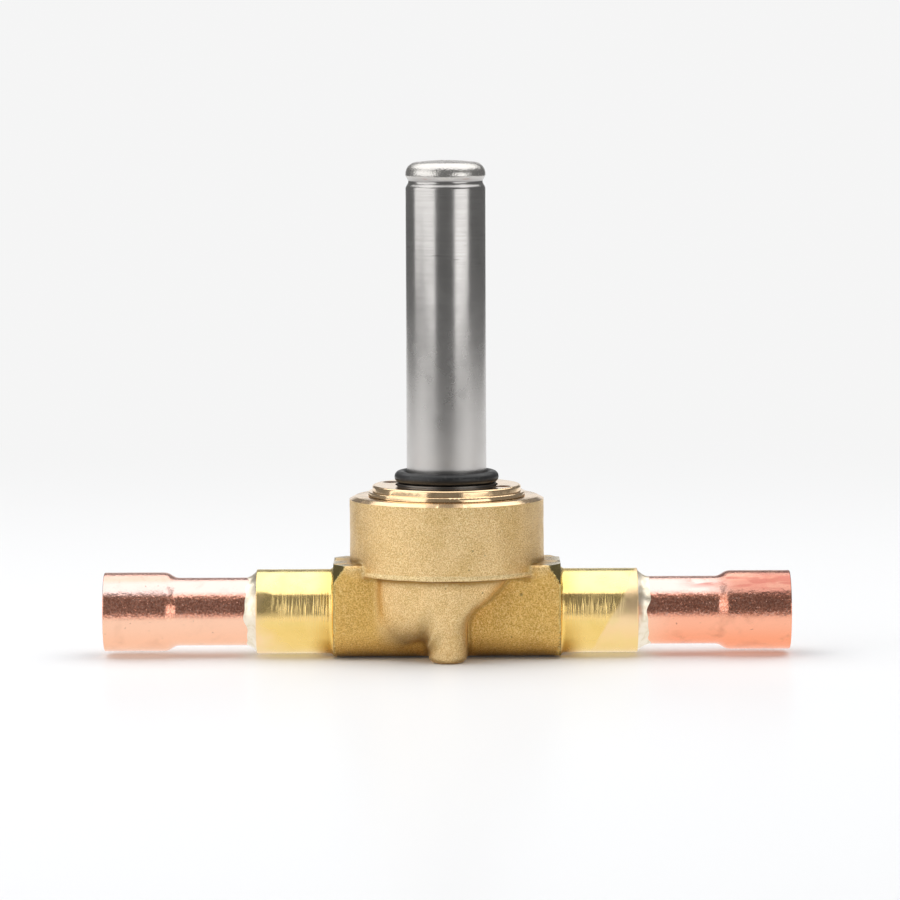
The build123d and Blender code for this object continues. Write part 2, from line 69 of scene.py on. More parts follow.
# Places read from the frame
tube_low, tube_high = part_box("armature_tube")
flange_low, flange_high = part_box("tube_flange")
ring_low, ring_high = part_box("coil_o_ring")
body_low, body_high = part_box("valve_body")
inlet_low, inlet_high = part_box("inlet_stub")
inlet_solder_low, inlet_solder_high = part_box("inlet_braze")
outlet_solder_low, outlet_solder_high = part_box("outlet_braze")
PORT_Z = (inlet_low.z + inlet_high.z) / 2
CUP_R = (inlet_high.z - inlet_low.z) / 2
STUB_END_X = -inlet_low.x
STUB_START_X = -inlet_high.x
SPIGOT_END_X = body_high.x

# Sizes of the body, repeated from the part
CHAMBER_R = body_high.y
CHAMBER_TOP_Z = body_high.z
CHAMBER_DRAFT = 0.15 * MM
CHAMFER_WIDTH = 0.9 * MM
CHAMFER_HEIGHT = 0.5 * MM
LIP_Z = 14.3 * MM
BARREL_END_X = 19.2 * MM
BARREL_WIDTH = 8.55 * MM         # from the middle to the barrel's side
BARREL_TOP_Z = 16.1 * MM
BARREL_BOTTOM_Z = 0.25 * MM
BARREL_FACE_R = 10.05 * MM       # where the cone turned over the corners meets the end
BARREL_LOW_ROUND = 5 * MM
BARREL_TOP_ROUND = 0.7 * MM
SPIGOT_R = 7.15 * MM
SPIGOT_BORE_R = 5.8 * MM
SPIGOT_ROOT_R = 0.8 * MM
SPIGOT_CHAMFER = 0.2 * MM
PORT_BORE_R = 4.5 * MM
PORT_BORE_SPAN = (4 * MM, 21 * MM)
THREAD_R = 12.05 * MM
GASKET_LEDGE_Z = 18.2 * MM
ANNULUS_R = 9.5 * MM
ANNULUS_Z = 13.8 * MM
FLANGE_T = 2 * MM
HUB_WALL = 1.65 * MM

# The bowl under the lip. Its front view is symmetric in Y, and a ROUND or JOINT is the width of a soft change.
BOWL_R = 13.8 * MM               # of its cone at the floor
BOWL_FLARE = 0.122               # growth of that radius with height
BOWL_TOP_Z = 15 * MM
BOWL_TOP_ROUND = 0.5 * MM
BOWL_LOW_ROUND = 1.4 * MM
LOBE_SIDE_X = 10.5 * MM          # from the middle to the lobe's left side, where Y is LOBE_SIDE_Y
LOBE_SIDE_Y = 14 * MM
LOBE_LEAN = 0.2                  # lean of that side towards the middle, per depth
LOBE_LEAN_SCALE = 0.98           # that turns the leaning side's reach into a distance
LOBE_ROUND = 0.7 * MM
LOBE_END_X = 1 * MM
LOBE_END_ROUND = 1 * MM
BELLY_LEFT = (-10.8 * MM, 1.0 * MM)
BELLY_RISE = 0.36                # of the belly's lower side towards the arch
BELLY_ROUND = 7 * MM
SLANT_LINE = ((3.9 * MM, 8.5 * MM), (8.9 * MM, 11.7 * MM), (10.3 * MM, 13.9 * MM))
SLANT_ROUND = 2.2 * MM
SLANT_START_X = -2.5 * MM
FOOT_X = 0.1 * MM
FOOT_HALF = 3.3 * MM
FOOT_ROUND = 3 * MM
FOOT_JOINT = 2 * MM
LOBE_JOINT = 1.5 * MM
BAR_JOINT = 0.5 * MM             # between barrel and bowl on the right
BAR_JOINT_MORE = 1.1 * MM        # added to it on the left
BAR_JOINT_SPAN = (5 * MM, 9 * MM)

# Small shapes that only the skin has
DRUM_ROUND = 0.3 * MM
BEAD_R = 0.32 * MM               # of the bead round the chamber's foot
BEAD_JOINT = 0.25 * MM
DRUM_JOINT = 0.35 * MM
CORNER_LUMP = (14.9 * MM, -7.7 * MM, 15.2 * MM)
CORNER_LUMP_HALF = (1.7 * MM, 1.2 * MM, 1.0 * MM)
CORNER_JOINT = 1.1 * MM
LUMP_HEIGHT = 0.03 * MM

# Resolution
ROUND_STEPS = 256
CORNER_STEPS = 8
FORGING_STEPS = 600
ROW_SPANS = ((0, 1.2, 13), (1.2, 13.6, 58), (13.6, 16.8, 46), (16.8, 26.7, 16))  # mm, mm, rows
SEARCH_R = 23 * MM
SEARCH_STRIDE = 0.5 * MM
SEARCH_HALVINGS = 14
GUARD = 0.02 * MM
CREASE_REACH = 1.0 * MM          # over which a crease or an edge of the forging counts
SOLDER_OVERLAP = 0.05 * MM


# Surfaces

def rounded_line(points, radii, steps=CORNER_STEPS):
    """Line through points with each corner replaced by an arc of its radius, a fan of equal turns
    about the arc's centre, with one guard point on each side so that the straights shade flat."""
    points = np.asarray(points, float)
    line = [points[:1]]
    for before, corner, after, radius in zip(points[:-2], points[1:-1], points[2:], radii):
        if radius <= 0:
            line.append(corner[None])
            continue
        into = (before - corner) / np.linalg.norm(before - corner)
        out = (after - corner) / np.linalg.norm(after - corner)
        half = np.arccos(np.clip(into @ out, -1, 1)) / 2
        reach = radius / np.tan(half)
        centre = corner + (into + out) / np.linalg.norm(into + out) * radius / np.sin(half)
        start = corner + into * reach - centre
        end = corner + out * reach - centre
        turn = pi - 2 * half
        share = np.linspace(0, 1, steps + 1)[:, None]
        arc = (start * np.sin((1 - share) * turn) + end * np.sin(share * turn)) / np.sin(turn)
        line += [(centre + start + into * GUARD)[None], centre + arc, (centre + end + out * GUARD)[None]]
    line.append(points[-1:])
    return np.concatenate(line)


def wave_line(start, end, count=32, steep=0.0):
    """S-shaped line from start to end that leaves and arrives along the points' second axis: the
    first coordinate follows half a cosine while the second runs evenly. steep, from 0 to 1, adds a
    quicker middle."""
    share = np.linspace(0, 1, count)
    blend = (1 - np.cos(share * pi)) / 2
    blend += (blend * blend * (3 - 2 * blend) - blend) * steep
    return np.stack([start[0] + (end[0] - start[0]) * blend, start[1] + (end[1] - start[1]) * share], 1)


def strips(lower, upper):
    """Quads between closed rows of point numbers and the rows over them."""
    return np.stack([lower, np.roll(lower, -1, 1), np.roll(upper, -1, 1), upper], 2).reshape(-1, 4)


def fans(number, first, last):
    """Triangles that close the first and the last row of point numbers in a pole each."""
    start, end = number[0], number[-1]
    return np.concatenate([
        np.stack([np.roll(start, -1), start, np.full_like(start, first)], 1),
        np.stack([end, np.roll(end, -1), np.full_like(end, last)], 1),
    ])


def mesh_object(name, points, quads, triangles=None):
    """Object at the origin from points, quads and triangles, turned outwards if its volume,
    the sum of the corners' triple products, comes out negative."""
    faces = [np.asarray(quads, np.int64).reshape(-1, 4)]
    if triangles is not None:
        faces.append(np.asarray(triangles, np.int64).reshape(-1, 3))
    volume = 0.0
    for group in faces:
        for second in range(1, group.shape[1] - 1):
            a, b, c = points[group[:, 0]], points[group[:, second]], points[group[:, second + 1]]
            volume += np.einsum("ij,ij->i", a, np.cross(b, c)).sum()
    if volume < 0:
        faces = [group[:, ::-1] for group in faces]
    totals = np.concatenate([np.full(len(group), group.shape[1]) for group in faces])
    corners = np.concatenate([group.ravel() for group in faces])
    mesh = bpy.data.meshes.new(name)
    mesh.vertices.add(len(points))
    mesh.vertices.foreach_set("co", points.astype(np.float32).ravel())
    mesh.loops.add(len(corners))
    mesh.loops.foreach_set("vertex_index", corners.astype(np.int32))
    mesh.polygons.add(len(totals))
    mesh.polygons.foreach_set("loop_start", (np.cumsum(totals) - totals).astype(np.int32))
    mesh.polygons.foreach_set("loop_total", totals.astype(np.int32))
    mesh.polygons.foreach_set("use_smooth", np.ones(len(totals), bool))
    mesh.update(calc_edges=True)
    mesh.validate()
    mesh.set_sharp_from_angle(angle=radians(40))
    return placed(name, mesh)


def placed(name, data):
    """Object of this name and data in the scene."""
    thing = bpy.data.objects.new(name, data)
    bpy.context.scene.collection.objects.link(thing)
    return thing


def turned(name, profile, axis=AXIS_Z, side=RIGHT, height=0.0, ripple=None):
    """Surface of revolution: each profile point (radius, place along the axis) goes once round it.
    A profile that starts and ends on the axis closes there in a fan, and any other closes on itself.
    ripple(angle, radius, place) returns how far each point moves outwards and along."""
    profile = np.asarray(profile, float)
    poled = profile[0, 0] < 1e-9
    rows = profile[1:-1] if poled else profile
    angle = np.linspace(0, 2 * pi, ROUND_STEPS, endpoint=False)[None, :]
    radius = np.repeat(rows[:, :1], ROUND_STEPS, 1)
    place = np.repeat(rows[:, 1:], ROUND_STEPS, 1)
    if ripple is not None:
        outwards, along = ripple(angle, radius, place)
        radius, place = radius + outwards, place + along
    across, up = radius * np.cos(angle), radius * np.sin(angle)
    if axis == AXIS_Z:
        grid = np.stack([across, up, place], 2)
        poles = [(0, 0, profile[0, 1]), (0, 0, profile[-1, 1])]
    else:
        grid = np.stack([side * place, across, up + height], 2)
        poles = [(side * profile[0, 1], 0, height), (side * profile[-1, 1], 0, height)]
    number = np.arange(len(rows) * ROUND_STEPS).reshape(len(rows), ROUND_STEPS)
    points = grid.reshape(-1, 3)
    if not poled:
        return mesh_object(name, points, strips(number, np.roll(number, -1, 0)))
    triangles = fans(number, len(points), len(points) + 1)
    return mesh_object(name, np.concatenate([points, poles]), strips(number[:-1], number[1:]), triangles)


def read(items, name, width=1, kind=np.float32):
    """One attribute of a mesh's items as an array with a row for each."""
    values = np.empty(len(items) * width, kind)
    items.foreach_get(name, values)
    return values.reshape(-1, width) if width > 1 else values


def merged_copy(node, name):
    """Copy of a node's mesh in which corners at the same place are one, with even normals."""
    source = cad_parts[node].data
    points = read(source.vertices, "co", 3)
    corners = read(source.loops, "vertex_index", 1, np.int32)
    places = np.round(points / (0.0005 * MM)).astype(np.int64)
    _, first, number = np.unique(places, axis=0, return_index=True, return_inverse=True)
    triangles = number.ravel()[corners].reshape(-1, 3)
    whole = (triangles != np.roll(triangles, 1, 1)).all(1)
    piece = mesh_object(name, points[first].astype(float), np.empty((0, 4)), triangles[whole])
    shading = piece.modifiers.new("even_normals", "WEIGHTED_NORMAL")
    shading.mode = "FACE_AREA"
    shading.keep_sharp = True
    return piece


# Forging

def joined(first, second, width):
    """Smooth union of two distances: the smaller one, sunk by a parabola where they differ by less than width."""
    share = np.clip(1 - np.abs(first - second) / width, 0, 1)
    return np.minimum(first, second) - share**2 * width / 4


def cut(first, second, width):
    """Smooth intersection of two distances, the reverse of a smooth union."""
    return -joined(-first, -second, width)


def rounded_box(across, up, half_width, low, high, low_r, high_r):
    """Distance to a rectangle with one radius at its lower corners and another at its upper ones."""
    middle, half_height = (low + high) / 2, (high - low) / 2
    radius = np.where(up > middle, high_r, low_r)
    side = np.abs(across) - half_width + radius
    over = np.abs(up - middle) - half_height + radius
    return np.minimum(np.maximum(side, over), 0) + np.hypot(np.maximum(side, 0), np.maximum(over, 0)) - radius


def ellipsoid(x, y, z, centre, half):
    """Distance to an ellipsoid, near enough close to its surface."""
    shares = [(c - m) / h for c, m, h in zip((x, y, z), centre, half)]
    return (np.sqrt(sum(s**2 for s in shares)) - 1) * min(half)


def beyond(x, z, first, second):
    """Distance in the front view beyond the line from first to second, on its lower right side."""
    along_x, along_z = second[0] - first[0], second[1] - first[1]
    return ((x - first[0]) * along_z - (z - first[1]) * along_x) / np.hypot(along_x, along_z)


def smooth_step(value, low, high):
    """0 below low and 1 above high, with a smooth step between them."""
    share = np.clip((value - low) / (high - low), 0, 1)
    return share * share * (3 - 2 * share)


def turned_off(x, y, z):
    """Distance beyond the faces turned on the barrels' ends: the flat ends and the cone over their corners."""
    reach = np.hypot(y, z - PORT_Z)
    cone = (np.abs(x) + reach - BARREL_END_X - BARREL_FACE_R) * cos(pi / 4)
    return np.maximum(np.abs(x) - BARREL_END_X, cone)


def bowl_distance(x, y, z):
    """Distance to the bowl, a cone that narrows downwards, in three parts that run into each other:
    the lobe on the left, whose belly turns under towards an arch beside the foot, the slanting edge
    on the right and the foot."""
    cone = np.hypot(x, y) - BOWL_R - z * BOWL_FLARE
    left = (-x - LOBE_SIDE_X - (LOBE_SIDE_Y - np.abs(y)) * LOBE_LEAN) * LOBE_LEAN_SCALE
    lobe = cut(cut(left, cone, LOBE_ROUND), x - LOBE_END_X, LOBE_END_ROUND)
    lobe = cut(lobe, BELLY_LEFT[1] + (x - BELLY_LEFT[0]) * BELLY_RISE - z, BELLY_ROUND)
    low, middle, high = SLANT_LINE
    slant = cut(beyond(x, z, low, middle), beyond(x, z, middle, high), SLANT_ROUND)
    slant = cut(np.maximum(slant, SLANT_START_X - x), cone, SLANT_ROUND)
    foot = cut(np.abs(x - FOOT_X) - FOOT_HALF, cone, FOOT_ROUND)
    bowl = joined(joined(foot, slant, FOOT_JOINT), lobe, LOBE_JOINT)
    return cut(cut(bowl, z - BOWL_TOP_Z, BOWL_TOP_ROUND), -z, BOWL_LOW_ROUND)


def forging_distance(x, y, z):
    """Distance from a point to the forging, negative inside: the bowl runs softly into the left barrel
    and sharply into the right one, and the chamber with its bead stands on them. Slow sine waves
    leave the lumps of the die."""
    bar = rounded_box(y, z, BARREL_WIDTH, BARREL_BOTTOM_Z, BARREL_TOP_Z, BARREL_LOW_ROUND, BARREL_TOP_ROUND)
    solid = joined(bar, bowl_distance(x, y, z), BAR_JOINT + BAR_JOINT_MORE * smooth_step(-x, *BAR_JOINT_SPAN))
    radius = np.hypot(x, y)
    drum = cut(radius - CHAMBER_R + CHAMBER_DRAFT, LIP_Z - z, DRUM_ROUND)
    bead = np.hypot(radius - CHAMBER_R + BEAD_R, z - LIP_Z - BEAD_R) - BEAD_R
    solid = joined(solid, joined(drum, bead, BEAD_JOINT), DRUM_JOINT)
    for side in (LEFT, RIGHT):
        lump = ellipsoid(x, y, z, (side * CORNER_LUMP[0], *CORNER_LUMP[1:]), CORNER_LUMP_HALF)
        solid = joined(solid, lump, CORNER_JOINT)
    lumps = np.sin(x * 900 + 1) * np.sin(y * 700) + np.sin(z * 1100 + x * 500) * np.cos(x * 420 - z * 600)
    below = np.where(z < BARREL_TOP_Z + 0.3 * MM, turned_off(x, y, z), -1)
    return np.maximum(np.maximum(solid + lumps * LUMP_HEIGHT, below), -z)


def outermost(inside, angle, z):
    """Radius in each direction about Z where a surface is met first from outside: strides inwards to
    the first place where the distance is negative, then halves that stride."""
    across, along = np.cos(angle), np.sin(angle)
    radius = np.full(np.broadcast(angle, z).shape, SEARCH_R)
    searching = np.ones(radius.shape, bool)
    stride = SEARCH_STRIDE
    for _ in range(int(SEARCH_R / SEARCH_STRIDE)):
        searching &= inside(radius * across, radius * along, z) >= 0
        radius = np.where(searching, radius - stride, radius)
    for _ in range(SEARCH_HALVINGS):
        stride /= 2
        met = inside(radius * across, radius * along, z) < 0
        radius = np.where(met, radius + stride, radius - stride)
    return np.maximum(radius, 0.3 * MM)


def forging_grid():
    """Rows of the body by height, each a closed line about Z: the forging's outside, the chamber's
    chamfer and land, and its cavity down to the floor over the ports."""
    heights = [np.linspace(low, high, count)[:-1] for low, high, count in ROW_SPANS] + [ROW_SPANS[-1][1:2]]
    angle = np.linspace(0, 2 * pi, FORGING_STEPS, endpoint=False)[None, :]
    z = np.concatenate(heights)[:, None] * MM
    radius = outermost(forging_distance, angle, z)
    within = np.where(z > BARREL_TOP_Z, 1, 1 / np.maximum(np.abs(np.sin(angle)), 1e-6)) * CHAMBER_R
    rim_r = CHAMBER_R - CHAMBER_DRAFT
    round_rows = np.array([
        (rim_r, CHAMBER_TOP_Z - CHAMFER_HEIGHT + 0.01 * MM), (rim_r - CHAMFER_WIDTH, CHAMBER_TOP_Z - 0.01 * MM),
        (rim_r - CHAMFER_WIDTH - 0.02 * MM, CHAMBER_TOP_Z), (THREAD_R, CHAMBER_TOP_Z),
        (THREAD_R, GASKET_LEDGE_Z), (ANNULUS_R, GASKET_LEDGE_Z), (ANNULUS_R, ANNULUS_Z),
    ])
    radius = np.concatenate([np.minimum(radius, within), np.repeat(round_rows[:, :1], FORGING_STEPS, 1)])
    z = np.concatenate([np.repeat(z, FORGING_STEPS, 1), np.repeat(round_rows[:, 1:], FORGING_STEPS, 1)])
    points = np.stack([radius * np.cos(angle), radius * np.sin(angle), z], 2).reshape(-1, 3)
    number = np.arange(len(points)).reshape(-1, FORGING_STEPS)
    triangles = fans(number, len(points), len(points) + 1)
    points = np.concatenate([points, [(0, 0, 0), (0, 0, ANNULUS_Z)]])
    return points, strips(number[:-1], number[1:]), triangles


# Materials

class Value:
    """An output in a node tree, on which arithmetic adds math nodes."""

    def __init__(self, nodes, socket):
        self.nodes, self.socket = nodes, socket

    def __add__(self, other):
        return self.nodes.math("ADD", self, other)

    def __sub__(self, other):
        return self.nodes.math("SUBTRACT", self, other)

    def __rsub__(self, other):
        return self.nodes.math("SUBTRACT", other, self)

    def __mul__(self, other):
        return self.nodes.math("MULTIPLY", self, other)

    def __abs__(self):
        return self.nodes.math("ABSOLUTE", self)

    __radd__, __rmul__ = __add__, __mul__


class Nodes:
    """A node tree, with the few wires that the finishes and the world need."""

    def __init__(self, tree):
        self.tree = tree

    def wire(self, value, socket):
        """Links a value to a socket, or sets the socket to a number, vector or colour."""
        if isinstance(value, Value):
            self.tree.links.new(value.socket, socket)
        else:
            socket.default_value = (*value, 1) if socket.type == "RGBA" else value

    def add(self, kind, inputs, output=0, **settings):
        """An output of a new node with these settings, whose inputs are given by name or number."""
        node = self.tree.nodes.new(kind)
        for name, value in settings.items():
            setattr(node, name, value)
        for key, value in inputs.items():
            self.wire(value, node.inputs[key])
        return Value(self, node.outputs[output])

    def math(self, operation, first, second=0.0):
        return self.add("ShaderNodeMath", {0: first, 1: second}, operation=operation)

    def length(self, x, y):
        return self.math("SQRT", x * x + y * y)

    def parts(self, vector):
        """The vector's three coordinates as separate values."""
        node = self.tree.nodes.new("ShaderNodeSeparateXYZ")
        self.wire(vector, node.inputs[0])
        return [Value(self, socket) for socket in node.outputs]

    def mask(self, value, low, high):
        """0 below low and 1 above high, with a smooth step between them."""
        return self.add("ShaderNodeMapRange", {0: value, 1: low, 2: high, 3: 0.0, 4: 1.0},
                        interpolation_type="SMOOTHSTEP")

    def spread(self, value, low, high, start, end):
        """value carried from the range low to high over to the range start to end."""
        return self.add("ShaderNodeMapRange", {0: value, 1: low, 2: high, 3: start, 4: end})

    def mix(self, share, first, second, blend="MIX"):
        """first with share of second over it, or multiplied by it."""
        return self.add("ShaderNodeMix", {0: share, 6: first, 7: second}, 2, data_type="RGBA", blend_type=blend)

    def ray(self, kind):
        """1 where the ray that sees this tree is of a kind, else 0."""
        return self.add("ShaderNodeLightPath", {}, f"Is {kind} Ray")


class Paint(Nodes):
    """One material: patterns on Object coordinates, and layers of colour and bump on its shader."""

    def __init__(self, name, colour, metallic, roughness):
        self.material = bpy.data.materials.new(name)
        self.material.use_nodes = True
        super().__init__(self.material.node_tree)
        self.shader = self.tree.nodes["Principled BSDF"]
        for socket, value in (("Base Color", colour), ("Metallic", metallic), ("Roughness", roughness)):
            self.lay(socket, value)
        self.place = self.add("ShaderNodeTexCoord", {}, "Object")
        self.colour = colour
        self.bump = None

    def noise(self, scale, detail=2.0, vector=None, distortion=0.0):
        return self.add("ShaderNodeTexNoise", {
            "Vector": vector or self.place, "Scale": scale, "Detail": detail, "Distortion": distortion})

    def streaks(self, scale, detail=2.0, distortion=0.0):
        """Noise with a scale for each axis, longer where it is small."""
        stretched = self.add("ShaderNodeMapping", {"Vector": self.place, "Scale": scale})
        return self.noise(1.0, detail, stretched, distortion)

    def away(self, point):
        """Distance from a point."""
        return self.add("ShaderNodeVectorMath", {0: self.place, 1: point}, "Value", operation="DISTANCE")

    def stored(self, name):
        """The value that the mesh stores at each point under this name."""
        return self.add("ShaderNodeAttribute", {}, "Fac", attribute_name=name)

    def cover(self, share, colour):
        """Lays share of another colour over the colour so far."""
        self.colour = self.mix(share, self.colour, colour)

    def shade(self, share, tint):
        """Multiplies the colour so far by a tint, as far as share says."""
        self.colour = self.mix(share, self.colour, tint, "MULTIPLY")

    def lay(self, socket, value):
        self.wire(value, self.shader.inputs[socket])

    def dent(self, height, depth):
        """Adds a bump of depth metres for a height from 0 to 1."""
        inputs = {"Height": height, "Distance": depth, "Strength": 1.0}
        if self.bump is not None:
            inputs["Normal"] = self.bump
        self.bump = self.add("ShaderNodeBump", inputs)
        self.lay("Normal", self.bump)

    def finish(self, roughness):
        """The material, with the colour so far and this roughness on its shader."""
        self.lay("Base Color", self.colour)
        self.lay("Roughness", roughness)
        return self.material

    def cloudy(self, cloud, middle, less, more):
        """A roughness that wanders about a middle value with a noise."""
        return self.spread(cloud, 0.3, 0.7, middle - less, middle + more)


def dimmed(colour, share):
    return tuple(c * share for c in colour)


WHITE = (1.0, 1.0, 1.0)
NICK = (12.5 * MM, -8.6 * MM, 11.2 * MM)
GRIT_DENT_SHADE = (0.62, 0.51, 0.36)
GRIT_CREST_HIGHLIGHT = (1.0, 0.85, 0.53)
EDGE_HIGHLIGHT = (1.0, 0.82, 0.47)
LIP_SHADOW = (0.28, 0.15, 0.05)
HOLLOW_SHADE = (0.38, 0.22, 0.06)


def forged_finish(look):
    """Blasted brass: fine grit dents with painted shade in them and painted highlights on their crests,
    over soft lumps, a few pits, a nick, painted highlights on the edges, painted shade in the hollows,
    a painted shadow under the lip and near the floor, and a chamber and bowl front painted paler as
    painted light. The body's attributes tell edges, hollows and tooled faces."""
    brass = look.forged_colour
    paint = Paint("blasted_brass", brass, 1.0, look.forged_roughness)
    x, y, z = paint.parts(paint.place)
    # Painted light: the chamber above the lip and the bowl's front get the paler brass, standing in for how they are
    # lit.
    painted_light_share = paint.math("MAXIMUM", paint.mask(z, 14 * MM, 17 * MM), paint.mask(abs(y), 8.7 * MM, 11.2 * MM))
    paint.cover(painted_light_share, look.forged_painted_light)
    paint.cover(paint.mask(paint.noise(190, 3), 0.4, 0.7) * 0.35, dimmed(brass, 0.82))
    # Painted highlight: pale brass laid on the forging's rounded edges.
    edge = paint.mask(paint.stored("crest"), 0.02, 0.4)
    paint.cover(edge * paint.spread(abs(x), 17 * MM, 18 * MM, 0.75, 0.0), EDGE_HIGHLIGHT)
    grit = paint.noise(1 / look.grain_size, 3)
    # Painted shade in the grit's dents and painted highlights on its crests, the highlights stronger where the brass
    # is painted lit.
    paint.shade(0.85, paint.mix(paint.mask(grit, 0.35, 0.6), GRIT_DENT_SHADE, WHITE))
    paint.cover(paint.mask(grit, 0.54, 0.7) * paint.spread(painted_light_share, 0.0, 1.0, 0.4, 0.75), GRIT_CREST_HIGHLIGHT)
    line = paint.mask(z, LIP_Z - 0.6 * MM, LIP_Z - 0.15 * MM) * paint.spread(paint.noise(300, 1), 0.35, 0.6, 0.3, 0.6)
    shadow = line + paint.mask(z, LIP_Z - 1.8 * MM, LIP_Z - 0.2 * MM) * 0.45
    under = 1 - paint.mask(z, LIP_Z - 0.05 * MM, LIP_Z + 0.1 * MM)
    paint.cover(shadow * under * paint.mask(abs(y), 8.7 * MM, 9.4 * MM), LIP_SHADOW)
    # Painted shade in the forging's hollows and creases.
    paint.cover(paint.mask(paint.stored("hollow"), 0.0, 0.45) * 0.72, HOLLOW_SHADE)
    # Painted shadow: the brass darkened near the floor, where the barrels meet it beside the foot.
    contact_shadow = (1 - paint.mask(z, 0.3 * MM, 2 * MM)) * paint.mask(abs(x), 4 * MM, 5 * MM)
    paint.cover(contact_shadow * 0.4, dimmed(brass, 0.2))
    paint.cover((1 - paint.mask(paint.away(NICK), 0.15 * MM, 0.4 * MM)) * 0.6, dimmed(brass, 0.25))
    pits = paint.mask(paint.noise(900, 1), 0.76, 0.8)
    paint.cover(pits * 0.7, dimmed(brass, 0.3))
    tooled = paint.stored("tooled")
    blasted = 1 - tooled
    paint.cover(tooled, look.facet_colour)
    paint.dent(blasted * paint.noise(330, 2), 0.15 * MM)
    paint.dent(blasted * grit, look.grain_depth)
    paint.dent(1 - pits, 0.08 * MM)
    return paint.finish(paint.cloudy(paint.noise(700, 2), look.forged_roughness, 0.06, 0.06) - tooled * 0.2)


HEAT_PINK = (1.0, 0.72, 0.44)
HEAT_OLIVE = (0.95, 0.74, 0.4)
ROOT_GOLD = (0.95, 0.62, 0.1)
UNDERSIDE_SHADE_GOLD = (0.9, 0.58, 0.15)
BAND_SHADE_GOLD = (0.97, 0.66, 0.26)
SMUDGE = (0.72, 0.5, 0.1)


def spigot_finish(look):
    """Turned brass: rings round the port line that fade towards the solder, where brazing left a pink
    and olive tint behind a slanting edge. The band at the port line's height and the lower side are
    painted a deeper gold as painted shade."""
    paint = Paint("turned_brass", look.turned_colour, 1.0, look.turned_roughness)
    x, y, z = paint.parts(paint.place)
    along, up = abs(x), z - PORT_Z
    outlet = paint.math("GREATER_THAN", x, 0.0)
    uneven = paint.spread(paint.noise(180, 2), 0.3, 0.7, -1.5 * MM, 1.5 * MM)
    slant = along - up * 0.35 + uneven
    left_heat = paint.mask(slant, SPIGOT_END_X - 3 * MM, SPIGOT_END_X + 1.5 * MM)
    right_heat = paint.mask(along - up * 0.53 + uneven * 0.2, 27.6 * MM, 28.2 * MM)
    right_heat = right_heat * paint.spread(up, -6.5 * MM, -1.5 * MM, 0.2, 1.0)
    heat = left_heat * (1 - outlet) + right_heat * outlet
    band = paint.mask(up, -1.2 * MM, -0.4 * MM) - paint.mask(up, 3.4 * MM, 4.4 * MM)
    paint.cover((1 - paint.mask(along, SPIGOT_END_X - 13 * MM, SPIGOT_END_X - 9 * MM)) * 0.5, ROOT_GOLD)
    # Painted shade: the spigots' lower side painted a deeper gold.
    paint.cover((1 - paint.mask(up, -3 * MM, 3 * MM)) * 0.7, UNDERSIDE_SHADE_GOLD)
    paint.cover(paint.mask(paint.noise(260, 3), 0.5, 0.75) * 0.2, SMUDGE)
    # Painted shade: the band at the port line's height painted a deeper gold, where the spigot faces the dim room.
    paint.cover(band * 0.6, BAND_SHADE_GOLD)
    paint.cover(heat * look.heat_tint, paint.mix(paint.mask(paint.noise(320, 3), 0.4, 0.7), HEAT_PINK, HEAT_OLIVE))
    bare = 1 - paint.mask(slant, SPIGOT_END_X - 6 * MM, SPIGOT_END_X - 1.5 * MM)
    rings = paint.streaks((3800, 90, 90))
    paint.dent(rings * (bare * paint.spread(band, 0.0, 1.0, 0.15, 1.0)), 0.17 * MM)
    return paint.finish(paint.cloudy(paint.noise(500, 3), look.turned_roughness, 0.04, 0.06) + heat * 0.16)


def lathe_finish(name, colour, roughness, ring_depth):
    """Metal faced on a lathe about Z: fine rings by the distance from the axis and by height."""
    paint = Paint(name, colour, 1.0, roughness)
    x, y, z = paint.parts(paint.place)
    line = paint.add("ShaderNodeCombineXYZ", {"X": paint.length(x, y), "Y": z})
    paint.dent(paint.noise(5500, 2, line), ring_depth)
    paint.cover(paint.mask(paint.noise(220, 3), 0.4, 0.75), dimmed(colour, 0.82))
    return paint.finish(paint.cloudy(paint.noise(800, 3), roughness, 0.03, 0.07))


DOME_Z = (80.6 * MM, 81.6 * MM)
SCUFF_Z = ((58 * MM, 66 * MM), (69 * MM, 74 * MM))
LOW_HALF_Z = (30 * MM, 72 * MM)
DOME_PAINTED_LIGHT = (0.62, 0.6, 0.57)
SCUFF = (0.16, 0.15, 0.14)
BRUSH_SHADE = (0.93, 0.93, 0.93)


def tube_finish(look):
    """Drawn stainless steel: faint rings and short scuffs round it, a grainy dome and a duller lower half,
    both painted paler as painted light."""
    steel = look.steel_colour
    paint = Paint("drawn_steel", steel, 1.0, look.steel_roughness)
    z = paint.parts(paint.place)[2]
    dome = paint.mask(z, *DOME_Z)
    low = 1 - paint.mask(z, *LOW_HALF_Z)
    band = paint.mask(z, *SCUFF_Z[0]) - paint.mask(z, *SCUFF_Z[1])
    paint.dent(paint.noise(3300, 2) * dome, 0.06 * MM)
    paint.cover(paint.mask(paint.noise(160, 3), 0.35, 0.7), dimmed(steel, 0.9))
    paint.shade(1.0, paint.mix(paint.mask(paint.streaks((60, 60, 4000)), 0.3, 0.7), BRUSH_SHADE, WHITE))
    # Painted light: the lower half painted paler steel; it is also rougher, through the gloss term below.
    paint.cover(low, dimmed(steel, 1.2))
    # Painted light: the dome painted in a paler steel, as its top is lit from above.
    paint.cover(dome, DOME_PAINTED_LIGHT)
    paint.cover(paint.mask(paint.streaks((170, 170, 2600)), 0.66, 0.72) * band * 0.5, SCUFF)
    gloss = low * 0.08 + dome * 0.04
    return paint.finish(paint.cloudy(paint.noise(420, 3), look.steel_roughness, 0.02, 0.03) + gloss)


LOW_REFLECTION_COPPER = (1.0, 0.78, 0.64)
PAINTED_GLINT_COPPER = (1.0, 0.62, 0.5)
TOP_EDGE_SHADE_COPPER = (0.85, 0.42, 0.3)
STREAK_COPPER = (0.42, 0.13, 0.1)
BLUSH_COPPER = (0.5, 0.17, 0.13)
SPECK = (0.2, 0.07, 0.04)
MOTTLE = (0.68, 0.62, 0.6)


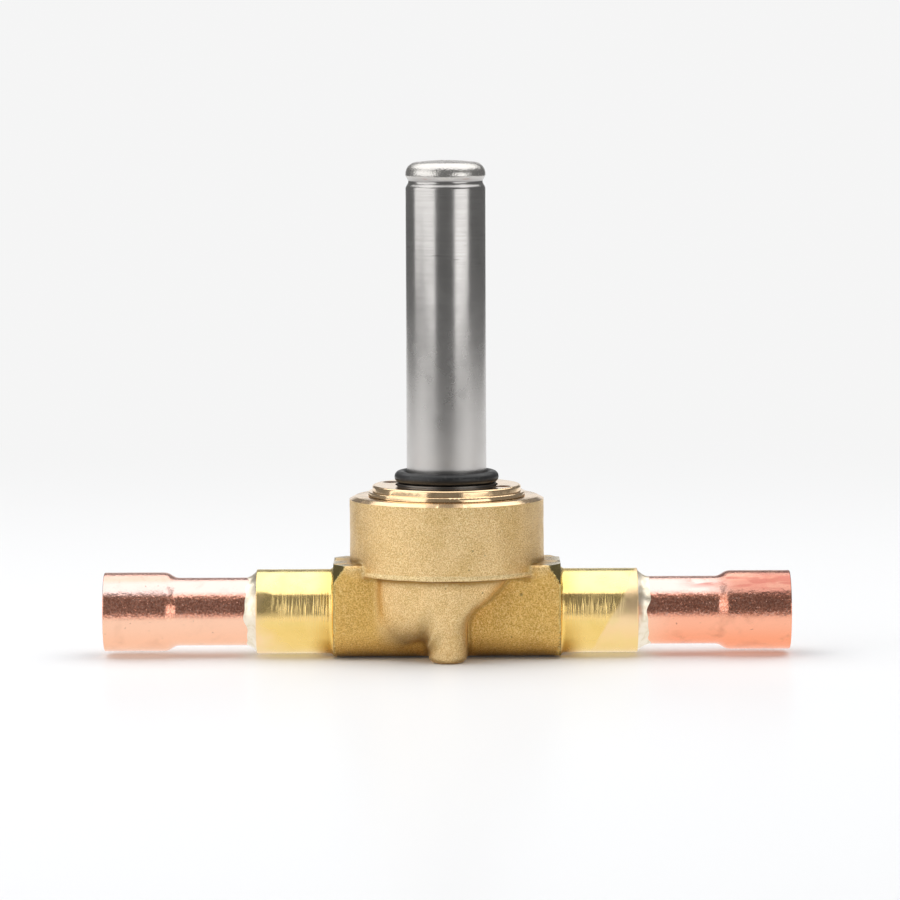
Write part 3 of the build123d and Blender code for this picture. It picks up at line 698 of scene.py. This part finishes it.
def copper_finish(look):
    """Annealed copper: a redder outlet side with streaks and a dark blush near its open end, sides
    painted a darker red as painted shade and mottled, with painted glints, a lower part painted paler
    as a painted reflection of the floor, an upper side painted paler as a painted highlight with a
    painted darker strip along its top, and a few specks."""
    paint = Paint("annealed_copper", look.copper_colour, 1.0, look.copper_roughness)
    x, y, z = paint.parts(paint.place)
    up = z - PORT_Z
    outlet = paint.mask(x, 30 * MM, 40 * MM)
    side = paint.mask(up, -0.9 * MM, 0.3 * MM)
    paint.cover(outlet, look.outlet_copper)
    # Painted reflection: the lower part painted paler, where it reflects the bright floor.
    paint.cover(paint.mask(up, -5.5 * MM, -1 * MM) * 0.25, LOW_REFLECTION_COPPER)
    # Painted shade: the band round the sides painted a darker red, where the copper reflects the dim room.
    paint.cover(side * 0.75, paint.mix(outlet, look.side_shade_copper, dimmed(look.side_shade_copper, 0.78)))
    even = 1 - side * (1 - paint.mask(paint.noise(2600, 3), 0.4, 0.62))
    paint.shade(1.0, paint.mix(even, MOTTLE, WHITE))
    # Painted glints: fine pale specks in the dark side band.
    paint.cover(side * (paint.mask(paint.noise(3200, 2), 0.5, 0.66) * 0.5), PAINTED_GLINT_COPPER)
    # Painted highlight: the upper side painted paler where it reflects the overhead lamp, with a duller tone near the
    # outlet's open end.
    top = paint.mix(paint.mask(x, 43 * MM, 49 * MM), look.top_highlight_copper, look.dull_copper)
    paint.cover(paint.mask(up, 2.9 * MM, 4 * MM), top)
    # Painted shade: a darker red strip along the top of the stubs.
    paint.cover(paint.mask(up, 5.1 * MM, 5.9 * MM) * 0.6, TOP_EDGE_SHADE_COPPER)
    streaks = paint.mask(paint.streaks((170, 420, 900), 3, 0.5), 0.48, 0.62)
    streaks = streaks * (paint.mask(x, 38 * MM, 44 * MM) * paint.mask(up, 3.6 * MM, 5 * MM))
    paint.cover(streaks * 0.7, STREAK_COPPER)
    paint.cover(paint.mask(paint.noise(210, 4, None, 0.4), 0.5, 0.8) * (0.18 + outlet * 0.3), look.oxide_colour)
    blush = paint.mask(x, 46 * MM, 56 * MM) * paint.mask(z, 9 * MM, 13 * MM)
    blush = blush * paint.mask(paint.noise(380, 3), 0.35, 0.65)
    paint.cover(blush * 0.75, BLUSH_COPPER)
    paint.cover(paint.mask(paint.noise(1900, 1), 0.76, 0.8) * 0.6, SPECK)
    paint.dent(paint.noise(230, 2), 0.05 * MM)
    paint.dent(paint.noise(1700, 2), 0.05 * MM)
    paint.dent(paint.mask(paint.noise(3400, 1), 0.68, 0.76), 0.014 * MM)
    return paint.finish(paint.cloudy(paint.noise(420, 3), look.copper_roughness, 0.03, 0.05))


def solder_finish(look):
    """Frozen silver solder: cream metal with soft flow lines and small bubbles."""
    paint = Paint("silver_solder", look.solder_colour, 1.0, 0.36)
    flow = paint.noise(700, 3, None, 0.8)
    paint.cover(paint.mask(flow, 0.4, 0.7), (0.8, 0.7, 0.52))
    paint.dent(flow, 0.04 * MM)
    paint.dent(paint.noise(2600, 2), 0.012 * MM)
    return paint.finish(0.36)


def rubber_finish(look):
    """Moulded black rubber: satin, with a fine matt grain and a trace of dust."""
    paint = Paint("black_rubber", look.rubber_colour, 0.0, 0.36)
    paint.cover(paint.mask(paint.noise(1800, 3), 0.55, 0.8) * 0.12, (0.25, 0.24, 0.23))
    paint.dent(paint.noise(3500, 2), 0.008 * MM)
    return paint.finish(paint.cloudy(paint.noise(900, 2), 0.4, 0.08, 0.08))


def inner_finish(name, colour, metallic, roughness):
    """Plain inner metal or plastic with a fine uneven gloss."""
    paint = Paint(name, colour, metallic, roughness)
    cloud = paint.noise(900, 3)
    paint.cover(paint.mask(cloud, 0.35, 0.7), dimmed(colour, 0.85))
    return paint.finish(paint.cloudy(cloud, roughness, 0.05, 0.08))


def dress(piece, node, slot, *materials):
    """Coats a piece of the housing and puts it in the place of its node."""
    for material in materials:
        piece.data.materials.append(material)
    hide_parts(node)
    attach(piece, HOUSING)


# Profiles

def dome_profile(radius, low_z, rim_z, corner_r, sizes):
    """Half outline of a closed tube: a straight wall, the rolled groove as two cosine steps, a round
    corner and a crown that is an arc of a large ball."""
    groove_z = tube_high.z - sizes.groove_drop
    half = sizes.groove_width / 2
    deep = radius - sizes.groove_depth
    crown = tube_high.z - rim_z if radius > tube_high.x - 1e-6 else sizes.crown_rise
    fall = wave_line((radius, groove_z - half), (deep, groove_z))
    rise = wave_line((deep, groove_z), (radius, groove_z + half))[1:]
    turn = np.linspace(0, pi / 2, 14)
    corner = np.stack([radius - corner_r + corner_r * np.cos(turn), rim_z - corner_r + corner_r * np.sin(turn)], 1)
    share = np.linspace(1, 0, 12)[1:]
    top = np.stack([(radius - corner_r) * share, rim_z + crown * (1 - share**2)], 1)
    return np.concatenate([[(radius, low_z)], fall, rise, corner, top])


def stub_profile(sizes):
    """Closed outline of a stub's wall, (radius, distance along the port line): the cup with its
    rounded rim, the swage as a steep wave inside and outside, and the neck."""
    wall, neck_r = sizes.stub_wall, sizes.stub_neck_r
    cup_x = STUB_END_X - sizes.socket_depth
    neck_x = cup_x - sizes.swage_length
    rim = 0.2 * MM
    return np.concatenate([
        [(neck_r, STUB_START_X)],
        wave_line((neck_r, neck_x), (CUP_R, cup_x), steep=0.8),
        rounded_line([(CUP_R, cup_x + rim), (CUP_R, STUB_END_X), (CUP_R - wall, STUB_END_X)], [rim]),
        wave_line((neck_r - wall, neck_x), (CUP_R - wall, cup_x), steep=0.8)[::-1],
        [(neck_r - wall, STUB_START_X)],
    ])


def spigot_profile():
    """Closed section of a turned spigot: its root arc on the barrel's end, the round, the chamfer and the bore."""
    start_x = BARREL_END_X - 1 * MM
    turn = np.linspace(0, pi / 2, 10)
    root = np.stack([SPIGOT_R + SPIGOT_ROOT_R * (1 - np.sin(turn)),
                     BARREL_END_X + SPIGOT_ROOT_R * (1 - np.cos(turn))], 1)
    rest = rounded_line([
        (SPIGOT_R, BARREL_END_X + SPIGOT_ROOT_R + 0.05 * MM), (SPIGOT_R, SPIGOT_END_X),
        (SPIGOT_BORE_R, SPIGOT_END_X), (SPIGOT_BORE_R, STUB_START_X), (PORT_BORE_R, STUB_START_X),
        (PORT_BORE_R, start_x),
    ], [SPIGOT_CHAMFER, 0, 0, 0])
    return np.concatenate([[(SPIGOT_R + SPIGOT_ROOT_R, start_x)], root, rest])


def over_the_floor(angle, radius, place):
    """Holds a spigot's root inside the barrel's lower face: no point goes further down than that."""
    down = np.maximum(-np.sin(angle), 1e-6)
    limit = (PORT_Z - BARREL_BOTTOM_Z) / down
    return np.minimum(limit - radius, 0), np.zeros_like(radius * angle)


def ring_profile(radius, centre_z, section_r, count=48):
    """Circle of the section's radius about (radius, centre_z)."""
    turn = np.linspace(0, 2 * pi, count, endpoint=False)
    return np.stack([radius + section_r * np.cos(turn), centre_z + section_r * np.sin(turn)], 1)


# Sizes and colours that a user may change

def length(name, description, millimetres):
    return bpy.props.FloatProperty(
        name=name, description=description, default=millimetres * MM, unit="LENGTH", precision=5)


def colour(name, description, default):
    return bpy.props.FloatVectorProperty(
        name=name, description=description, default=default, subtype="COLOR", min=0, max=1)


def factor(name, description, default):
    return bpy.props.FloatProperty(
        name=name, description=description, default=default, subtype="FACTOR", min=0, max=1)


class ValveSizes(bpy.types.PropertyGroup):
    """Sizes of the surfaces that the frame doesn't give."""

    groove_drop: length("Groove drop", "From the tube's top to the middle of its groove", 3.6)
    groove_width: length("Groove width", "Width of the groove rolled into the tube", 2.3)
    groove_depth: length("Groove depth", "Depth of the groove rolled into the tube", 0.45)
    dome_r: length("Dome radius", "Rounding between the tube's wall and its top", 2.0)
    crown_rise: length("Crown", "Rise of the tube's top over its rim", 0.3)
    tube_wall: length("Tube wall", "Thickness of the armature tube", 0.5)
    stub_wall: length("Stub wall", "Thickness of the copper stubs", 0.63)
    stub_neck_r: length("Stub neck", "Outer radius of a stub's neck", 5.75)
    socket_depth: length("Socket depth", "Straight part of a stub's socket", 9.9)
    swage_length: length("Swage length", "Length over which the cup narrows to the neck", 3.2)
    solder_wave: length("Solder wave", "How far the solder's edge wanders along the stub", 0.5)


class ValveLook(bpy.types.PropertyGroup):
    """Colours and textures of the finishes."""

    forged_colour: colour("Forged brass", "Colour of the blasted forging below its lip", (0.88, 0.58, 0.18))
    # Painted light: the paler copy of the forged brass, laid on the chamber and the bowl's front.
    forged_painted_light: colour("Pale forged brass", "Colour of the blasted chamber above the lip", (1.0, 0.74, 0.38))
    forged_roughness: factor("Forged roughness", "Roughness of the blasted forging", 0.35)
    grain_size: length("Grain size", "Distance between the dents that the blasting leaves", 0.18)
    grain_depth: length("Grain depth", "Depth of those dents", 0.17)
    turned_colour: colour("Turned brass", "Colour of the turned spigots", (0.95, 0.78, 0.35))
    facet_colour: colour("Facets", "Colour of the small turned facets on the barrels' corners", (0.42, 0.33, 0.13))
    turned_roughness: factor("Turned roughness", "Roughness of the turned spigots", 0.24)
    heat_tint: factor("Heat tint", "How strongly brazing has tinted the spigots' ends", 0.75)
    nut_colour: colour("Nut brass", "Colour of the bright ring nut", (1.0, 0.72, 0.43))
    copper_colour: colour("Copper", "Colour of the clean copper", (1.0, 0.55, 0.36))
    outlet_copper: colour("Outlet copper", "Colour of the copper on the outlet's side", (1.0, 0.37, 0.2))
    # Painted shade: the darker red of the copper's sides.
    side_shade_copper: colour("Side copper", "Colour of the copper's sides, where it is redder", (1.0, 0.4, 0.27))
    # Painted highlight: top_highlight_copper is the upper side painted paler where it reflects the overhead lamp.
    top_highlight_copper: colour("Top copper", "Colour of the upper side, which handling has paled", (0.8, 0.58, 0.53))
    dull_copper: colour("Dull copper", "Colour of the upper side near the outlet's open end", (0.56, 0.27, 0.2))
    oxide_colour: colour("Oxide", "Colour of the oxidised copper", (0.42, 0.17, 0.1))
    copper_roughness: factor("Copper roughness", "Roughness of the copper", 0.22)
    solder_colour: colour("Solder", "Colour of the silver solder", (0.92, 0.83, 0.68))
    steel_colour: colour("Steel", "Colour of the armature tube", (0.51, 0.495, 0.48))
    steel_roughness: factor("Steel roughness", "Roughness of the armature tube", 0.22)
    rubber_colour: colour("Rubber", "Colour of the O-ring", (0.012, 0.012, 0.013))


class ValveStage(bpy.types.PropertyGroup):
    """Floor, light and camera."""

    floor_colour: colour("Floor", "Colour of the floor as the camera sees it", (0.914, 0.92, 0.93))
    bounce_colour: colour("Bounce", "Colour of the floor as it lights the object from below", (0.97, 0.97, 0.97))
    background_colour: colour("Background", "Colour of the far floor and the background", (0.915, 0.915, 0.915))
    light_level: bpy.props.FloatProperty(name="Light level", description="Factor on all lamps", default=1.0, min=0)
    camera_distance: length("Camera distance", "From the tube's axis to the camera, along the floor", 860)
    camera_height: length("Camera height", "Height of the camera over the floor", 112.8)
    lens: bpy.props.FloatProperty(name="Lens", description="Focal length in millimetres", default=203.8, min=1)


# Operators

class VALVE_OT_tube(bpy.types.Operator):
    """Build the armature tube, its flange and the O-ring"""

    bl_idname = "valve.build_tube"
    bl_label = "Armature tube"

    def execute(self, context):
        sizes, look = context.scene.valve_sizes, context.scene.valve_look
        tube = turned("armature_tube_skin", self.tube_outline(sizes))
        dress(tube, "armature_tube", "tube_steel", tube_finish(look))
        section_r = (ring_high.z - ring_low.z) / 2
        section = ring_profile(ring_high.x - section_r, (ring_high.z + ring_low.z) / 2, section_r)
        dress(turned("o_ring_skin", section), "coil_o_ring", "black_rubber", rubber_finish(look))
        flange = turned("tube_flange_skin", self.flange_outline(tube_high.x - sizes.tube_wall))
        # Painted shadow: the flange is painted dark steel, the shade that the O-ring casts on it.
        steel = lathe_finish("flange_steel", dimmed(look.steel_colour, 0.35), 0.34, 0.001 * MM)
        dress(flange, "tube_flange", "flange_steel", steel)
        return {"FINISHED"}

    def tube_outline(self, sizes):
        """Section of the tube's wall: up its inside to the dome, and round its slightly narrower foot."""
        radius, wall = tube_high.x, sizes.tube_wall
        rim_z = tube_high.z - sizes.crown_rise
        outside = dome_profile(radius, tube_low.z, rim_z, sizes.dome_r, sizes)
        inside = dome_profile(radius - wall, tube_low.z, rim_z - wall, sizes.dome_r - wall, sizes)
        foot_r = radius - 0.1 * MM
        foot = [(foot_r, tube_low.z), (foot_r, ring_high.z - 0.3 * MM), (radius, ring_high.z + 0.12 * MM)]
        return np.concatenate([inside[::-1], foot, outside[1:]])

    def flange_outline(self, inner_r):
        """Section of the flange: the disc under the nut, the hub with its rounded edge and the tube's seat."""
        hub_r = tube_high.x + HUB_WALL
        return rounded_line([
            (inner_r, flange_low.z), (flange_high.x, flange_low.z), (flange_high.x, flange_low.z + FLANGE_T),
            (hub_r, flange_low.z + FLANGE_T), (hub_r, flange_high.z), (tube_high.x + 0.03 * MM, flange_high.z),
            (inner_r + 0.33 * MM, tube_low.z), (inner_r, tube_low.z),
        ], [0, 0, 0, 0, 0.25 * MM, 0, 0])


class VALVE_OT_body(bpy.types.Operator):
    """Build the forged body and the ring nut"""

    bl_idname = "valve.build_body"
    bl_label = "Body and ring nut"

    def execute(self, context):
        look = context.scene.valve_look
        turned_brass = spigot_finish(look)
        faced = lathe_finish("faced_brass", look.nut_colour, 0.16, 0.006 * MM)
        body = mesh_object("forged_body", *forging_grid())
        dress(body, "valve_body", "forged_brass", forged_finish(look), turned_brass, faced)
        self.bore_out(body)
        self.share_out(body.data)
        self.mark(body.data)
        for port, side in (("inlet", LEFT), ("outlet", RIGHT)):
            spigot = turned(port + "_spigot", spigot_profile(), AXIS_X, side, PORT_Z, over_the_floor)
            dress(spigot, "valve_body", "forged_brass", turned_brass)
        nut = merged_copy("ring_nut", "ring_nut_skin")
        dress(nut, "ring_nut", "turned_brass", lathe_finish("bright_brass", look.nut_colour, 0.13, 0.006 * MM))
        return {"FINISHED"}

    def bore_out(self, body):
        """Cuts the two port bores into the body, and leaves the passages between them to the frame."""
        near, far = PORT_BORE_SPAN
        cutter_line = [(0, near), (PORT_BORE_R, near), (PORT_BORE_R, far), (0, far)]
        for side in (LEFT, RIGHT):
            cutter = turned("cutter", cutter_line, AXIS_X, side, PORT_Z)
            bore = body.modifiers.new("bore", "BOOLEAN")
            bore.operation, bore.solver, bore.object = "DIFFERENCE", "EXACT", cutter
            bored = bpy.data.meshes.new_from_object(body.evaluated_get(bpy.context.evaluated_depsgraph_get()))
            body.modifiers.clear()
            body.data = bored
            bpy.data.objects.remove(cutter)
        body.data.name = "forged_body"

    def share_out(self, mesh):
        """Gives each face its finish by where it lies: turned in the port bores, faced on the chamber's
        top and inside, and as forged elsewhere."""
        x, y, z = read(mesh.polygons, "center", 3).T
        finish = np.zeros(len(x), np.int32)
        finish[(np.hypot(y, z - PORT_Z) < PORT_BORE_R + 0.1 * MM) & (np.abs(x) > PORT_BORE_SPAN[0])] = 1
        inner = (np.hypot(x, y) < THREAD_R + 0.1 * MM) & (z > ANNULUS_Z - 0.1 * MM)
        finish[(z > CHAMBER_TOP_Z - CHAMFER_HEIGHT - 0.005 * MM) | inner] = 2
        mesh.polygons.foreach_set("material_index", finish)

    def mark(self, mesh):
        """Stores at each point how far it is tooled, hollow or on an edge. The forging's distance at a short
        way out from a flat place is that way, and it is less in a hollow. Tooled faces shade flat. The hollow
        values carry the finish's painted shade, and the crest values its painted highlights on the edges."""
        places = read(mesh.vertices, "co", 3)
        x, y, z = places.T
        tooled = np.clip((turned_off(x, y, z) + 0.12 * MM) / (0.1 * MM), 0, 1)
        tooled = np.where(z < BARREL_TOP_Z + 0.2 * MM, tooled, 0)
        marks = {"tooled": tooled}
        reach = read(mesh.vertices, "normal", 3) * CREASE_REACH
        for name, side in (("hollow", 1), ("crest", -1)):
            clear = forging_distance(*(places + reach * side).T) * side
            marks[name] = np.where(z > 0.3 * MM, np.clip(0.95 - clear / CREASE_REACH, 0, 1), 0)
        for name, values in marks.items():
            mesh.attributes.new(name, "FLOAT", "POINT").data.foreach_set("value", values.astype(np.float32))
        corners = read(mesh.loops, "vertex_index", 1, np.int32)
        starts = read(mesh.polygons, "loop_start", 1, np.int32)
        mesh.polygons.foreach_set("use_smooth", np.minimum.reduceat(tooled[corners], starts) < 1)


class VALVE_OT_ports(bpy.types.Operator):
    """Build the copper stubs and their solder"""

    bl_idname = "valve.build_ports"
    bl_label = "Copper stubs and solder"

    def execute(self, context):
        sizes, look = context.scene.valve_sizes, context.scene.valve_look
        copper, solder = copper_finish(look), solder_finish(look)
        ends = {"inlet": (LEFT, 0.6 * MM - inlet_solder_low.x), "outlet": (RIGHT, outlet_solder_high.x)}
        for port, (side, solder_x) in ends.items():
            stub = turned(port + "_stub_skin", stub_profile(sizes), AXIS_X, side, PORT_Z)
            dress(stub, port + "_stub", "copper", copper)
            ring = turned(port + "_solder", self.outline(sizes, solder_x), AXIS_X, side, PORT_Z,
                          lambda angle, radius, place: self.wander(angle, radius, place, sizes, side))
            dress(ring, port + "_braze", "silver_solder", solder)
        return {"FINISHED"}

    def outline(self, sizes, end_x):
        """Section of the solder: from under the spigot's edge down to the stub in a hollow arc."""
        low_r = sizes.stub_neck_r - 0.02 * MM
        top_r = (outlet_solder_high.z - outlet_solder_low.z) / 2
        share = np.linspace(0, 1, 24)
        place = SPIGOT_END_X + (end_x - SPIGOT_END_X) * share
        radius = top_r + (low_r - top_r) * share - 0.2 * MM * np.sin(share * pi)
        start_x = SPIGOT_END_X - SOLDER_OVERLAP
        return np.concatenate([[(low_r, start_x), (top_r, start_x)], np.stack([radius, place], 1)])

    def wander(self, angle, radius, place, sizes, side):
        """Moves the solder's edge along the stub by three waves round it, more the further out it lies."""
        share = np.clip((place - SPIGOT_END_X) / (1.5 * MM), 0, 1)
        wave = np.sin(3 * angle + side) + 0.6 * np.sin(7 * angle + 2 * side) + 0.4 * np.sin(12 * angle)
        return np.zeros_like(radius * angle), sizes.solder_wave * 0.5 * share * wave


class VALVE_OT_inside(bpy.types.Operator):
    """Give the sealed inner pieces their finishes"""

    bl_idname = "valve.finish_inside"
    bl_label = "Inner pieces"

    def execute(self, context):
        look = context.scene.valve_look
        steel = inner_finish("inner_steel", (0.6, 0.6, 0.6), 1.0, 0.25)
        brass = inner_finish("inner_brass", look.turned_colour, 1.0, 0.25)
        copper = inner_finish("inner_copper", look.copper_colour, 1.0, 0.25)
        plastic = inner_finish("white_polymer", (0.8, 0.8, 0.78), 0.0, 0.4)
        finishes = {
            "fixed_core": steel, "plunger": steel, "closing_spring": steel, "strainer_screen": steel,
            "strainer_ring": steel, "flange_gasket": copper, "orifice_gasket": copper, "shading_ring": copper,
            "disc_retainer": brass, "orifice_seat": brass, "seat_disc": plastic,
        }
        for name, material in finishes.items():
            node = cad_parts[name]
            node.data.materials.clear()
            node.data.materials.append(material)
        spring = merged_copy("closing_spring", "closing_spring_skin")
        dress(spring, "closing_spring", "spring_steel", steel)
        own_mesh(spring)
        return {"FINISHED"}


# Stage: each lamp's place, aim, width and height in metres and power in watts
LAMPS = {
    "overhead": ((0, 0.2, 1.0), (0, 0, 0.02), 2.4, 1.75, 20.5),
    "left": ((-0.82, -0.38, 0.22), (0, 0, 0.05), 1.3, 0.85, 4.8),
    "right": ((0.75, -0.7, 0.07), (0, 0, 0.05), 0.8, 0.6, 2.4),
}
DARK = (0.2, 0.2, 0.2)
CAMERA_AIM = (0.6 * MM, 0, 34.9 * MM)
CAMERA_ROLL = radians(-0.22)


class VALVE_OT_stage(bpy.types.Operator):
    """Build the floor, the lamps and the camera"""

    bl_idname = "valve.build_stage"
    bl_label = "Stage"

    def execute(self, context):
        stage = context.scene.valve_stage
        self.floor(stage)
        self.world(context.scene, stage)
        for name, (place, aim, width, height, power) in LAMPS.items():
            self.lamp(name, Vector(place), Vector(aim), width, height, power * stage.light_level)
        self.camera(context.scene, stage)
        context.scene.view_settings.view_transform = "Standard"
        return {"FINISHED"}

    def floor(self, stage):
        """Flat pale sheet that fades outwards into the background, over a wider one that only the
        camera sees, so that the lamps' lower halves still light the object. Reflections see it white
        beside the object and dark in front of it."""
        floor = self.sheet("floor", (-0.7, -0.24), (0.7, 0.9), 0.0)
        apron = self.sheet("wide_floor", (-2.0, -2.0), (2.0, 2.0), -0.5 * MM)
        apron.visible_diffuse = apron.visible_glossy = apron.visible_transmission = apron.visible_shadow = False
        paint = Paint("pale_floor", stage.floor_colour, 0.12, 0.25)
        paint.lay("Specular IOR Level", 0.0)
        x, y, z = paint.parts(paint.place)
        camera, glossy = paint.ray("Camera"), paint.ray("Glossy")
        far = paint.math("MAXIMUM", paint.mask(y, -0.04, 0.4), paint.mask(paint.length(x, y), 0.2, 0.5))
        front = paint.math("MAXIMUM", paint.mask(y * -1.0, 0.06, 0.12), paint.mask(abs(x), 0.2, 0.28))
        lit = paint.mix(camera, stage.bounce_colour, stage.floor_colour)
        paint.lay("Base Color", paint.mix(front * glossy, lit, DARK))
        beside = paint.mask(abs(x), 19.5 * MM, 24 * MM)
        seen = paint.math("MAXIMUM", far * camera, glossy * ((1 - front) * beside))
        glow = paint.add("ShaderNodeEmission", {"Color": paint.mix(camera, WHITE, stage.background_colour),
                                                "Strength": 1.0})
        shader = Value(paint, paint.shader.outputs[0])
        blend = paint.add("ShaderNodeMixShader", {0: seen, 1: shader, 2: glow})
        paint.wire(blend, paint.tree.nodes["Material Output"].inputs[0])
        for sheet in (floor, apron):
            sheet.data.materials.append(paint.material)

    def sheet(self, name, low, high, z):
        """Flat rectangle from low to high at the height z."""
        mesh = bpy.data.meshes.new(name)
        corners = [(low[0], low[1], z), (high[0], low[1], z), (high[0], high[1], z), (low[0], high[1], z)]
        mesh.from_pydata(corners, [], [(0, 1, 2, 3)])
        return placed(name, mesh)

    def world(self, scene, stage):
        """Pale for the camera and in a strip behind the object, and a dim room elsewhere."""
        scene.world = bpy.data.worlds.new("studio")
        scene.world.use_nodes = True
        nodes = Nodes(scene.world.node_tree)
        toward = nodes.parts(nodes.add("ShaderNodeTexCoord", {}, "Generated"))
        seen = nodes.math("MAXIMUM", nodes.ray("Camera"), nodes.mask(toward[1], 0.95, 0.975))
        nodes.wire(nodes.mix(seen, DARK, stage.background_colour), nodes.tree.nodes["Background"].inputs[0])

    def lamp(self, name, place, aim, width, height, power):
        """Rectangular soft lamp at place that faces aim."""
        light = bpy.data.lights.new(name, "AREA")
        light.shape = "RECTANGLE"
        light.size, light.size_y, light.energy = width, height, power
        lamp = placed(name, light)
        lamp.location = place
        lamp.rotation_mode = "QUATERNION"
        lamp.rotation_quaternion = (aim - place).to_track_quat("-Z", "Y")

    def camera(self, scene, stage):
        """Camera with a long lens, a little over the tube's top and turned slightly about its view."""
        data = bpy.data.cameras.new("camera")
        data.lens, data.sensor_width = stage.lens, 36
        data.clip_start, data.clip_end = 0.01, 20
        camera = placed("camera", data)
        camera.location = (0, -stage.camera_distance, stage.camera_height)
        toward = Vector(CAMERA_AIM) - camera.location
        camera.rotation_mode = "QUATERNION"
        camera.rotation_quaternion = toward.to_track_quat("-Z", "Y") @ Quaternion((0, 0, 1), CAMERA_ROLL)
        scene.camera = camera


class VALVE_PT_panel(bpy.types.Panel):
    """Panel that lists the valve's pieces"""

    bl_idname = "VALVE_PT_panel"
    bl_label = "Expansion valve"
    bl_space_type = "VIEW_3D"
    bl_region_type = "UI"
    bl_category = "Valve"

    def draw(self, context):
        for operator in OPERATORS:
            self.layout.operator(operator.bl_idname)
        for group in (context.scene.valve_sizes, context.scene.valve_look, context.scene.valve_stage):
            box = self.layout.box()
            for name in group.__annotations__:
                box.prop(group, name)


GROUPS = {"valve_sizes": ValveSizes, "valve_look": ValveLook, "valve_stage": ValveStage}
OPERATORS = (VALVE_OT_body, VALVE_OT_tube, VALVE_OT_ports, VALVE_OT_inside, VALVE_OT_stage)


def register():
    for group in (*GROUPS.values(), *OPERATORS, VALVE_PT_panel):
        bpy.utils.register_class(group)
    for name, group in GROUPS.items():
        setattr(bpy.types.Scene, name, bpy.props.PointerProperty(type=group))


def unregister():
    for name in GROUPS:
        delattr(bpy.types.Scene, name)
    for group in (VALVE_PT_panel, *OPERATORS, *GROUPS.values()):
        bpy.utils.unregister_class(group)


def main():
    """Builds every piece and the stage."""
    register()
    bpy.ops.valve.build_body()
    bpy.ops.valve.build_tube()
    bpy.ops.valve.build_ports()
    bpy.ops.valve.finish_inside()
    bpy.ops.valve.build_stage()


if __name__ == "__main__":
    main()
